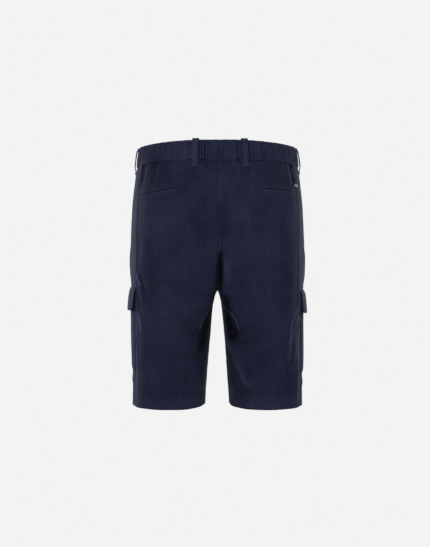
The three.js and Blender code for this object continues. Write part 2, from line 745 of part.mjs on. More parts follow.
// The small plain metal plate beside the right back pocket.
function plaque(grid, color) {
  const { point, normal } = findOnGrid(grid, "back", PLAQUE.x, PLAQUE.z);
  const shape = new THREE.Shape();
  const a = PLAQUE.length / 2;
  const b = PLAQUE.height / 2;
  const round = 0.9;
  shape.moveTo(-a + round, -b);
  shape.lineTo(a - round, -b);
  shape.quadraticCurveTo(a, -b, a, -b + round);
  shape.lineTo(a, b - round);
  shape.quadraticCurveTo(a, b, a - round, b);
  shape.lineTo(-a + round, b);
  shape.quadraticCurveTo(-a, b, -a, b - round);
  shape.lineTo(-a, -b + round);
  shape.quadraticCurveTo(-a, -b, -a + round, -b);
  const plate = { depth: PLAQUE.wall, bevelEnabled: false, curveSegments: 4 };
  const geometry = new THREE.ExtrudeGeometry(shape, plate);
  const up = new THREE.Vector3(0, 0, 1);
  const flat = up.clone().addScaledVector(normal, -up.dot(normal)).normalize();
  const along = flat.clone().cross(normal);
  const turn = new THREE.Matrix4().makeBasis(along, flat, normal);
  geometry.applyMatrix4(turn);
  const seat = point.clone().addScaledVector(normal, 0.95);
  geometry.translate(seat.x, seat.y, seat.z);
  const look = { color, roughness: 0.35, metalness: 0.9 };
  const mesh = new THREE.Mesh(geometry, new THREE.MeshStandardMaterial(look));
  mesh.name = "back_plaque";
  return mesh;
}

function flyPlacket(grid, color) {
  const ACROSS = 4;
  const DOWN = 11;
  const lines = [];
  for (let r = 0; r <= DOWN; r += 1) {
    const line = [];
    const t = r / DOWN;
    const z = mix(FLY.top, FLY.bottom, t);
    const width = FLY.width * (1 - 0.72 * smooth(0.76, 1, t) ** 1.6);
    for (let c = 0; c <= ACROSS; c += 1) {
      line.push({ axis: "front", value: mix(0.9, width, c / ACROSS), z });
    }
    lines.push(line);
  }
  const depths = () => ({ low: LAY_GAP, wall: FLY.wall });
  return laidPiece("fly_placket", grid, lines, depths, color);
}

function waistButton(color) {
  const half = BUTTON.x < 0 ? LEFT : RIGHT;
  const { whole } = sectionAt(half, BUTTON.z);
  const near = whole.find((p) => p.y > 0 && p.x <= Math.abs(BUTTON.x));
  const slope = (centreY("front", BUTTON.z - 8) - centreY("front", BUTTON.z + 8)) / 16;
  const profile = [
    new THREE.Vector2(0, 0),
    new THREE.Vector2(BUTTON.radius - 0.6, 0),
    new THREE.Vector2(BUTTON.radius, 0.7),
    new THREE.Vector2(BUTTON.radius, BUTTON.wall - 0.6),
    new THREE.Vector2(BUTTON.radius - 0.9, BUTTON.wall),
    new THREE.Vector2(BUTTON.radius - 2.4, BUTTON.wall - 0.5),
    new THREE.Vector2(0, BUTTON.wall - 0.5),
  ];
  const geometry = new THREE.LatheGeometry(profile, 24);
  geometry.rotateX(Math.atan(slope));
  geometry.translate(BUTTON.x, near.y + BAND_PROUD + 0.5, BUTTON.z);
  const look = { color, roughness: 0.4 };
  const mesh = new THREE.Mesh(geometry, new THREE.MeshStandardMaterial(look));
  mesh.name = "waist_button";
  return mesh;
}

const CLOTH = 0x22263a;
const CLOTH_BAND = 0x262a3f;
const TRIM = 0x1f2336;
const METAL = 0x6d6a58;
const HORN = 0x1c1e28;

const leftGrid = halfGrid(LEFT);
const rightGrid = halfGrid(RIGHT);

const group = new THREE.Group();
group.name = "cargo_bermuda_shorts";
group.add(panel("back_panel_left", leftGrid, 0, BACK_COLUMNS, CLOTH));
group.add(panel("back_panel_right", rightGrid, 0, BACK_COLUMNS, CLOTH));
group.add(panel("front_panel_left", leftGrid, BACK_COLUMNS, LAST_COLUMN, CLOTH));
group.add(panel("front_panel_right", rightGrid, BACK_COLUMNS, LAST_COLUMN, CLOTH));
group.add(bandMesh("waistband_back", gatherColumns(), CLOTH_BAND));
group.add(frontBand("waistband_front_left", LEFT, CLOTH_BAND));
group.add(frontBand("waistband_front_right", RIGHT, CLOTH_BAND));
for (const loop of LOOPS) group.add(beltLoop(loop, TRIM));
group.add(weltPiece(WELTS[0], leftGrid, TRIM));
group.add(weltPiece(WELTS[1], rightGrid, TRIM));
group.add(plaque(rightGrid, METAL));
group.add(cargoPocket("cargo_pocket_left", leftGrid, CARGO_PLACE.left, CLOTH));
group.add(cargoPocket("cargo_pocket_right", rightGrid, CARGO_PLACE.right, CLOTH));
group.add(cargoFlap("cargo_flap_left", leftGrid, CARGO_PLACE.left, CLOTH_BAND));
group.add(cargoFlap("cargo_flap_right", rightGrid, CARGO_PLACE.right, CLOTH_BAND));
group.add(flyPlacket(leftGrid, TRIM));
group.add(waistButton(HORN));

export default group;
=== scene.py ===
"""Navy cargo bermuda shorts in the form they have when worn, dressed over the fixed solids."""

import logging
import math
from dataclasses import dataclass, field
from enum import Enum

import bmesh
import bpy
from mathutils import Matrix, Vector, noise
from mathutils.bvhtree import BVHTree
from mathutils.kdtree import KDTree


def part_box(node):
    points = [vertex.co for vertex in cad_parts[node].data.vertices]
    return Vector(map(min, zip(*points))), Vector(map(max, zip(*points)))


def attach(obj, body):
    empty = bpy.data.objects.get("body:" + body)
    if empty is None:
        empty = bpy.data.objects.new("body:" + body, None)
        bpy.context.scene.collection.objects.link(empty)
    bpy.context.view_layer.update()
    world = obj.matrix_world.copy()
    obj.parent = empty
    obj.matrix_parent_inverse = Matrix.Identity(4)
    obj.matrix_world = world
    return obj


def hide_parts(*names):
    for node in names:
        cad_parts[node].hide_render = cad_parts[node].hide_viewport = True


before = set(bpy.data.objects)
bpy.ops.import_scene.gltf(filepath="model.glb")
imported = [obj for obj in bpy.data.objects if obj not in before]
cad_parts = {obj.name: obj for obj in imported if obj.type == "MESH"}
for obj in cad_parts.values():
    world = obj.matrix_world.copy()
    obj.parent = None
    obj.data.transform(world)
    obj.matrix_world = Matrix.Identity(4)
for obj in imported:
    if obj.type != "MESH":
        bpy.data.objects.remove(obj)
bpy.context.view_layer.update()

LOG = logging.getLogger("shorts")
MM = 0.001
LEG_X = 100.0
LEG_Y = -6.0
CROTCH_Z = -293.0
HEM_Z = -527.0
WELD = 1e-5
RIM_STEP = 3.0
ROW_OFFSETS = (2.6, 8.4)
RIM_OFFSETS = (2.2, 7.8)
FLY_OFFSETS = (2.4, 8.0)
MOUTH_OFFSETS = (2.0, 8.6)
FAR = 400.0
WAIST_RADIUS = 148.0
WAIST_FLATNESS = 1.3
LEG_RADIUS = 78.0
FOLD_REACH = 3.2
FAINTEST_END = 0.12
FACING = (0.02, 0.42)
CLOSED_SHARP = 40.0
CREASE_WEIGHT = 0.82
UNSET = 1e9


class Half(Enum):
    """The two halves of the shorts, by the sign of their X."""

    LEFT = -1
    RIGHT = 1


class Face(Enum):
    """The side from which a fold is drawn."""

    BACK = "back"
    FRONT = "front"
    SIDE = "side"


class Cut(Enum):
    """What is taken from a solid: its outer face alone or the whole closed piece."""

    OUTER = "outer"
    WHOLE = "whole"


def strip_of(place: float) -> int:
    """Number of the narrow strip that a coordinate in millimetres falls in."""
    return round(place / RIM_STEP)


def clamp(value: float, low: float = 0.0, high: float = 1.0) -> float:
    """Keep a value between two limits."""
    return max(low, min(high, value))


def smooth(low: float, high: float, value: float) -> float:
    """Ease from 0 at low to 1 at high."""
    t = clamp((value - low) / (high - low))
    return t * t * (3.0 - 2.0 * t)


def bell(distance: float, width: float) -> float:
    """A soft hump that is 1 in the middle and fades over a width."""
    return math.exp(-((distance / width) ** 2))


def new_piece(bm: bmesh.types.BMesh, name: str, material: bpy.types.Material) -> bpy.types.Object:
    """Make an object with smooth faces from a mesh in the making, and free that mesh.

    Args:
        bm: the mesh in the making.
        name: the object's name.
        material: its finish.

    Returns:
        The new object, linked to the scene.
    """
    for face in bm.faces:
        face.smooth = True
    mesh = bpy.data.meshes.new(name)
    bm.to_mesh(mesh)
    bm.free()
    mesh.materials.append(material)
    piece = bpy.data.objects.new(name, mesh)
    bpy.context.scene.collection.objects.link(piece)
    return piece


def even_out(bm: bmesh.types.BMesh, verts: list, times: int, upright: bool = True) -> None:
    """Smooth some vertices a number of times, with or without their height.

    Args:
        bm: the mesh in the making.
        verts: its vertices that move.
        times: how often.
        upright: whether they also move up and down.
    """
    for _ in range(times):
        bmesh.ops.smooth_vert(
            bm, verts=verts, factor=0.5, use_axis_x=True, use_axis_y=True, use_axis_z=upright)


def wander(x: float, y: float, z: float, scale: float, seed: float) -> float:
    """Smooth noise between about -1 and 1 over a scale in millimetres."""
    return noise.noise(Vector((x / scale + seed, y / scale - seed, z / scale)))


@dataclass(frozen=True)
class Fold:
    """One fold, drawn as a bent line on a side of a half, in millimetres.

    Points are (across, height): across is the distance from the middle on the back and
    front, and Y on the side. The fold is steep on its inner side and soft on its outer side,
    or the other way round.
    """

    half: Half
    face: Face
    points: tuple[tuple[float, float], ...]
    height: float
    inner: float
    outer: float
    fade: float = 22.0

    def lift(self, across: float, level: float) -> float:
        """Height of the fold at a place of its side.

        Args:
            across: distance from the middle, or Y on the side.
            level: Z of the place.

        Returns:
            How far the cloth stands out there, in millimetres.
        """
        best = UNSET
        found = 0.0
        length = 0.0
        ahead = 0.0
        for (ax, az), (bx, bz) in zip(self.points, self.points[1:]):
            dx, dz = bx - ax, bz - az
            size = math.hypot(dx, dz)
            part = ((across - ax) * dx + (level - az) * dz) / size
            inside = clamp(part, 0.0, size)
            gap = math.hypot(across - ax - dx * inside / size, level - az - dz * inside / size)
            if gap < best:
                best = gap
                side = (across - ax) * dz - (level - az) * dx
                found = math.copysign(gap, side)
                ahead = length + inside
            length += size
        if best > FOLD_REACH * max(self.inner, self.outer):
            return 0.0
        width = self.inner if found > 0.0 else self.outer
        ends = smooth(-4.0, self.fade, ahead) * (1.0 - smooth(length - self.fade, length + 4.0, ahead))
        return self.height * bell(found, width) * max(FAINTEST_END, ends)


LEFT, RIGHT = Half.LEFT, Half.RIGHT


def drawn_on(half: Half, face: Face, *rows: tuple) -> tuple[Fold, ...]:
    """Folds of one side of a half, from rows of points, height, inner and outer width, and fade."""
    return tuple(Fold(half, face, *row) for row in rows)


FOLDS: tuple[Fold, ...] = (
    # Drag folds from the crotch over the back of each leg, and the hollows under them.
    *drawn_on(
        LEFT, Face.BACK,
        (((4, -303), (15, -322), (27, -345), (36, -368), (43, -398), (45, -424)), 3.4, 5, 15, 22),
        (((13, -338), (23, -370), (29, -398), (26, -420)), -5.4, 9, 8, 16),
        (((22, -430), (28, -464), (33, -500)), 2.4, 4, 8, 14),
    ),
    *drawn_on(
        RIGHT, Face.BACK,
        (((3, -305), (16, -321), (30, -335), (39, -352), (46, -376), (49, -396)), 3.6, 5, 14, 18),
        (((10, -326), (20, -348), (27, -376)), -5.6, 8, 8, 14),
        (((18, -384), (32, -414), (43, -442), (53, -465), (61, -488)), 3.2, 4, 9, 14),
        (((19, -404), (27, -446), (32, -492)), -3.4, 8, 7, 22),
    ),
    # Folds at the pockets' rear corners and along the sides of the legs.
    *drawn_on(
        LEFT, Face.BACK,
        (((159, -258), (154, -274), (149, -294), (144, -318)), 1.9, 4, 4, 10),
        (((152, -262), (145, -288), (139, -316)), -1.5, 6, 6, 14),
        (((157, -330), (150, -352), (146, -384)), 1.2, 5, 5, 14),
    ),
    *drawn_on(
        RIGHT, Face.BACK,
        (((169, -292), (159, -330), (150, -365), (142, -398), (138, -436)), 2.4, 4, 7, 16),
        (((160, -350), (154, -388), (151, -432)), 1.9, 3, 4, 14),
        (((156, -352), (148, -392), (145, -444)), -1.6, 4, 4, 18),
    ),
    # The soft fall of the cloth over the seat and down the legs.
    *drawn_on(
        LEFT, Face.BACK,
        (((86, -200), (82, -320), (76, -440)), 1.2, 20, 26, 60),
        (((116, -300), (118, -400), (112, -500)), -1.1, 16, 18, 50),
        (((24, -120), (22, -180), (20, -250)), -1.4, 11, 13, 34),
        (((46, -110), (44, -190), (48, -270)), 0.8, 12, 14, 40),
    ),
    *drawn_on(
        RIGHT, Face.BACK,
        (((84, -210), (90, -330), (86, -450)), 1.2, 20, 26, 60),
        (((116, -280), (112, -390), (114, -490)), -1.0, 16, 18, 50),
        (((16, -130), (15, -190), (17, -262)), -1.3, 9, 12, 34),
        (((36, -112), (38, -190), (44, -270)), 0.9, 12, 14, 40),
    ),
    # Short creases below the band, under the gathers.
    *drawn_on(
        LEFT, Face.BACK,
        (((150, -44), (153, -62), (157, -84)), 1.2, 2.5, 3, 8),
        (((145, -43), (147, -60), (151, -80)), -1.3, 3, 3, 8),
        (((139, -43), (141, -62), (145, -78)), 0.9, 3, 3, 10),
        (((122, -43), (120, -60), (123, -88)), -0.8, 5, 6, 9),
        (((104, -44), (105, -58), (108, -74)), 0.6, 5, 6, 12),
        (((62, -44), (60, -58), (64, -76)), -1.0, 5, 5, 9),
        (((30, -43), (33, -56), (40, -70)), 1.2, 4, 6, 8),
    ),
    *drawn_on(
        RIGHT, Face.BACK,
        (((149, -44), (151, -60), (156, -84)), 1.4, 2.5, 3, 8),
        (((144, -43), (145, -62), (150, -84)), -1.5, 3, 3, 9),
        (((138, -44), (140, -62), (145, -80)), 1.0, 3, 3, 10),
        (((118, -43), (116, -60), (114, -76)), 0.6, 5, 6, 10),
        (((96, -44), (99, -58), (104, -74)), -0.6, 5, 6, 12),
        (((64, -43), (68, -56), (66, -76)), 1.1, 4, 6, 9),
    ),
    # The front: drag folds, soft creases across the lap, and the fall of the legs.
    *drawn_on(
        LEFT, Face.FRONT,
        (((5, -296), (20, -318), (44, -344), (62, -384)), 3.0, 5, 13, 22),
        (((14, -330), (26, -366), (34, -410)), -3.6, 8, 8, 18),
        (((6, -256), (30, -243), (66, -236), (96, -240)), 1.1, 6, 10, 40),
        (((12, -278), (44, -270), (80, -276)), -0.9, 8, 9, 30),
        (((30, -398), (46, -440), (60, -490)), 1.9, 5, 10, 22),
        (((104, -286), (108, -390), (102, -490)), 1.1, 16, 20, 50),
        (((60, -90), (56, -150), (62, -210)), -0.9, 14, 16, 40),
    ),
    *drawn_on(
        RIGHT, Face.FRONT,
        (((5, -294), (19, -312), (46, -338), (70, -376)), 3.2, 5, 13, 22),
        (((14, -326), (28, -362), (38, -404)), -3.8, 8, 8, 18),
        (((6, -262), (32, -252), (72, -238), (118, -236)), 1.3, 6, 11, 40),
        (((14, -284), (52, -266), (84, -260)), -0.8, 9, 9, 30),
        (((28, -392), (42, -436), (58, -492)), 2.0, 5, 10, 22),
        (((98, -280), (106, -380), (98, -484)), 1.1, 16, 20, 50),
        (((66, -84), (60, -146), (66, -206)), -0.9, 14, 16, 40),
    ),
    # The sides, in front of the seams.
    *drawn_on(
        LEFT, Face.SIDE,
        (((-56, -200), (-30, -238), (-12, -276)), 1.6, 5, 10, 20),
        (((64, -180), (44, -232), (28, -276)), 1.4, 7, 11, 24),
        (((20, -120), (10, -176), (14, -240)), -1.1, 12, 12, 34),
        (((-58, -466), (-20, -476), (24, -470)), 1.2, 5, 8, 18),
    ),
    *drawn_on(
        RIGHT, Face.SIDE,
        (((-60, -206), (-34, -246), (-14, -282)), 1.7, 5, 10, 20),
        (((68, -186), (50, -236), (32, -280)), 1.4, 7, 11, 24),
        (((16, -124), (8, -180), (10, -244)), -1.1, 12, 12, 34),
        (((-54, -472), (-16, -482), (28, -476)), 1.2, 5, 8, 18),
    ),
)


# Where a fold or a hollow keeps the light off: the height is the strength of the shade.
SHADOWS: tuple[Fold, ...] = (
    *drawn_on(
        RIGHT, Face.BACK,
        (((8.0, -140), (8.4, -190), (7.8, -216), (6.0, -236)), 0.5, 1.4, 1.4, 40),
        (((5.4, -214), (5.2, -240), (5.4, -266), (4.8, -284), (3.2, -298)), 1.4, 5.2, 4.2, 12),
        (((5, -297), (13, -304), (23, -311)), 0.55, 4, 5, 6),
        (((9, -312), (16, -328), (22, -344), (25, -358)), 1.7, 16, 11, 6),
        (((20, -342), (25, -360), (28, -376), (31, -404)), 1.05, 14, 12, 24),
        (((34, -350), (42, -376), (44, -394)), 0.34, 10, 14, 16),
        (((21, -412), (28, -438), (33, -460), (38, -480)), 0.5, 6, 3.4, 12),
        (((10, -60), (12, -180), (15, -300)), 0.17, 9, 10, 60),
    ),
    *drawn_on(
        LEFT, Face.BACK,
        (((0.5, -236), (0.5, -262), (0.5, -298)), 0.9, 2.4, 2.4, 12),
        (((13, -320), (21, -338), (28, -356), (31, -370)), 1.6, 18, 4.6, 6),
        (((27, -352), (32, -376), (35, -400), (36, -426)), 0.95, 17, 6, 28),
        (((34, -346), (45, -385), (48, -424)), 0.3, 12, 14, 20),
        (((54, -326), (60, -400)), 0.2, 16, 22, 30),
        (((26, -60), (28, -180), (26, -292)), 0.16, 12, 20, 60),
        (((13, -216), (15, -304)), 0.14, 12, 14, 30),
        (((126, -60), (124, -100)), 0.14, 8, 9, 16),
    ),
    *drawn_on(
        RIGHT, Face.FRONT,
        (((8, -306), (17, -334), (24, -366), (28, -402)), 0.8, 12, 6, 44),
        (((4.0, -212), (4.2, -250), (3.0, -294)), 0.8, 3, 3.2, 16),
    ),
    *drawn_on(
        LEFT, Face.FRONT,
        (((8, -306), (18, -338), (26, -372), (30, -412)), 0.85, 12, 6, 44),
    ),
)

# Painted highlights along the ridges of folds and seams, where the light catches them: the height is the
# strength.
PAINTED_HIGHLIGHTS: tuple[Fold, ...] = (
    *drawn_on(
        LEFT, Face.BACK,
        (((5, -299), (14, -318), (22, -333), (31, -349), (38, -370)), 0.4, 1.5, 2.2, 8),
        (((22, -436), (27, -470), (30, -508)), 0.4, 6, 4, 16),
        (((159, -256), (156, -269), (150, -282)), 0.7, 1.5, 1.6, 4),
        (((160, -334), (157, -342), (153, -352), (149, -368)), 0.5, 1.5, 1.8, 5),
    ),
    *drawn_on(
        RIGHT, Face.BACK,
        (((4, -306), (12, -321), (21, -330), (29, -336), (37, -350), (43, -366)), 0.55, 1.3, 2.2, 7),
        (((18, -386), (24, -408), (30, -421), (37, -434), (43, -448), (48, -464), (56, -482)),
         0.55, 1.6, 2.4, 9),
        (((24, -482), (28, -510)), 0.4, 7, 5, 10),
        (((12, -226), (16, -250), (18, -284)), 0.14, 4, 8, 20),
        (((52, -120), (56, -260)), 0.05, 18, 18, 50),
        (((164, -305), (158, -324), (152, -339), (147, -352), (143, -368), (142, -402)), 0.5, 2.0, 2.2, 8),
        (((160, -334), (158, -346), (154, -358), (152, -400)), 0.4, 1.6, 1.8, 10),
    ),
    *drawn_on(
        LEFT, Face.FRONT,
        (((6, -300), (22, -322), (44, -346)), 0.3, 1.5, 2.4, 10),
    ),
    *drawn_on(
        RIGHT, Face.FRONT,
        (((6, -298), (20, -316), (46, -342)), 0.3, 1.5, 2.4, 10),
    ),
)


@dataclass(frozen=True)
class PocketMouth:
    """The mouth of a back pocket: a line from (x0, z0) to (x1, z1), in millimetres."""

    half: Half
    x0: float
    z0: float
    x1: float
    z1: float
    sag: float

    def level(self, across: float) -> float:
        """Z of the mouth at a distance from the middle."""
        t = clamp((across - self.x0) / (self.x1 - self.x0)) ** (1 / 0.9)
        return self.z0 + (self.z1 - self.z0) * t - self.sag * 4 * t * (1 - t)

    def span(self, across: float) -> float:
        """1 between the ends of the mouth, and 0 a little past them."""
        return smooth(self.x0 - 6, self.x0 + 5, across) * (1 - smooth(self.x1 - 4, self.x1 + 6, across))


# Pits beside the back belt loops, sunk into the cloth and darkened with painted shade: X, Z, width, height
# and strength.
NOTCHES = (
    (-55.5, -39.0, 4.6, 2.0, 1.0),
    (-28.8, -38.6, 5.0, 2.6, 1.0),
    (-15.0, -39.6, 6.0, 1.0, 0.6),
    (25.0, -40.4, 12.0, 0.9, 0.45),
    (39.6, -38.0, 2.6, 5.0, 0.9),
    (61.0, -40.0, 2.8, 4.6, 0.95),
)

MOUTHS = (
    PocketMouth(LEFT, 81, -94.5, 156.5, -104.5, 1.2),
    PocketMouth(RIGHT, 88.5, -96.2, 157, -97.2, 0.4),
)


class ClothForm:
    """The shape of the cloth beyond the solids: gathers, folds, creases and puckers, and the lines of
    painted shade and painted highlight drawn on it.
    """

    def __init__(self, mouths: tuple[PocketMouth, ...], **kinds: tuple[Fold, ...]) -> None:
        """Keep the mouths, and each kind of fold by half and side.

        Args:
            mouths: the mouths of the back pockets.
            **kinds: the folds of each kind.
        """
        self.mouths = mouths
        self.kept: dict[tuple[str, Half, Face], list[Fold]] = {}
        for kind, folds in kinds.items():
            for fold in folds:
                self.kept.setdefault((kind, fold.half, fold.face), []).append(fold)

    def drawn(self, kind: str, p: Vector, n: Vector, half: Half) -> float:
        """Sum of the drawn lines of one kind at a place.

        Args:
            kind: the kind's name.
            p: a place on the cloth, in millimetres.
            n: its outward normal.
            half: the half that it belongs to.

        Returns:
            Their height or strength there.
        """
        weights = (
            (Face.BACK, abs(p.x), smooth(*FACING, -n.y)),
            (Face.FRONT, abs(p.x), smooth(*FACING, n.y)),
            (Face.SIDE, p.y, smooth(0.6, 0.88, n.x * half.value)),
        )
        total = 0.0
        for face, place, weight in weights:
            if weight > 0.0:
                for fold in self.kept.get((kind, half, face), ()):
                    total += weight * fold.lift(place, p.z)
        return total

    @staticmethod
    def around(p: Vector) -> float:
        """Way round the half waist from the middle of the back, in millimetres."""
        return WAIST_RADIUS * math.atan2(abs(p.x), -p.y * WAIST_FLATNESS)

    def gathers(self, p: Vector) -> float:
        """Height of the gathers that the elastic leaves under the band.

        Args:
            p: a place on the cloth, in millimetres.

        Returns:
            How far the cloth stands out there, in millimetres.
        """
        if p.z < -128.0 or p.y > 62.0:
            return 0.0
        way = self.around(p) * (1 if p.x > 0 else -1)
        slant = 0.07 * math.sin(way / 37.0) * (p.z + 40.0)
        bend = 5.0 * noise.noise(Vector((way / 28.0, p.z / 60.0, 3.1)))
        side = smooth(70.0, 190.0, abs(way))
        depth = -41.0 - p.z
        fade = 1.0 - smooth(0.0, 1.0, depth / (26.0 + 46.0 * side))
        fine = 1.0 - abs(math.sin((way + slant + bend) / 9.2 * math.pi)) ** 0.7 * 1.6
        broad = math.sin((way * 0.97 + slant * 2.0 + bend * 2.0) / 25.0 * math.tau + 1.0)
        uneven = 0.25 + 1.1 * abs(noise.noise(Vector((way / 24.0, p.z / 90.0, 0.4))))
        front = 1.0 - smooth(30.0, 62.0, p.y)
        deep = fade * uneven * (0.24 + 1.2 * side) * fine
        long_fade = 1.0 - smooth(0.0, 1.0, depth / 80.0)
        crinkle = wander(way, 0.0, p.z * 0.45, 11.0, 9.3) * (0.55 + 0.7 * side)
        return front * (deep + long_fade * ((0.15 + 0.5 * side) * broad + crinkle) - 0.5 * fade * side)

    def pockets(self, p: Vector, half: Half) -> float:
        """Lip over a back pocket's mouth and the slight fullness of its bag.

        Args:
            p: a place on the cloth, in millimetres.
            half: the half that it belongs to.

        Returns:
            How far the cloth stands out there, in millimetres.
        """
        if p.y > -40.0 or not -190.0 < p.z < -70.0:
            return 0.0
        across = abs(p.x)
        total = 0.0
        for mouth in self.mouths:
            if mouth.half is not half:
                continue
            above = p.z - mouth.level(across)
            if above > -0.4:
                total += 1.5 * mouth.span(across) * smooth(-0.4, 0.9, above) * bell(max(0.0, above), 11.0)
            bag = smooth(-62, -20, above) * (1 - smooth(-8, 2, above))
            total += 0.5 * bag * mouth.span(across)
        return total

    def lift(self, p: Vector, n: Vector, half: Half) -> float:
        """Whole relief of a body panel.

        Args:
            p: a place on the panel, in millimetres.
            n: its outward normal.
            half: the half that it belongs to.

        Returns:
            How far the cloth stands out there, in millimetres.
        """
        total = self.gathers(p) + self.pockets(p, half) + self.drawn("folds", p, n, half)
        total += 0.8 * wander(p.x, p.y, p.z * 0.3, 36.0, 1.7)
        total += 0.28 * wander(p.x, p.y, p.z * 0.6, 13.0, 5.2)
        hem = p.z - HEM_Z
        if hem < 40.0:
            turn = self.leg_turn(p)
            pucker = math.sin(turn / 8.5 * math.tau + 2.0 * math.sin(turn / 31.0))
            total += 0.3 * (1.0 - smooth(23.0, 26.0, hem)) + 0.1 * bell(hem - 25.0, 5.0) * pucker
            total += 0.5 * bell(hem, 12.0) * math.sin(turn / 47.0 * math.tau + 0.7 * half.value)
        return total

    @staticmethod
    def seat(p: Vector) -> float:
        """Depth of the valley where the two halves of the seat meet above the crotch."""
        return 3.2 * bell(p.x - 4.0, 5.5) * smooth(-206.0, -246.0, p.z) * smooth(-20.0, -50.0, p.y)

    @staticmethod
    def notches(p: Vector) -> float:
        """Strength, 0 to 1, of the pits beside the back belt loops at the band's seam, which sink the
        cloth and set its painted shade.

        Args:
            p: a place on the cloth, in millimetres.

        Returns:
            The strength there.
        """
        if p.y > -60.0 or not -58.0 < p.z < -20.0:
            return 0.0
        return max(
            size * bell(p.x - x, wide) * bell(p.z - z, high)
            for x, z, wide, high, size in NOTCHES
        )

    @staticmethod
    def leg_turn(p: Vector) -> float:
        """Way round a leg, in millimetres."""
        return LEG_RADIUS * math.atan2(abs(p.x) - LEG_X, -(p.y - LEG_Y))


FORM = ClothForm(MOUTHS, folds=FOLDS, shadows=SHADOWS, highlight_lines=PAINTED_HIGHLIGHTS)


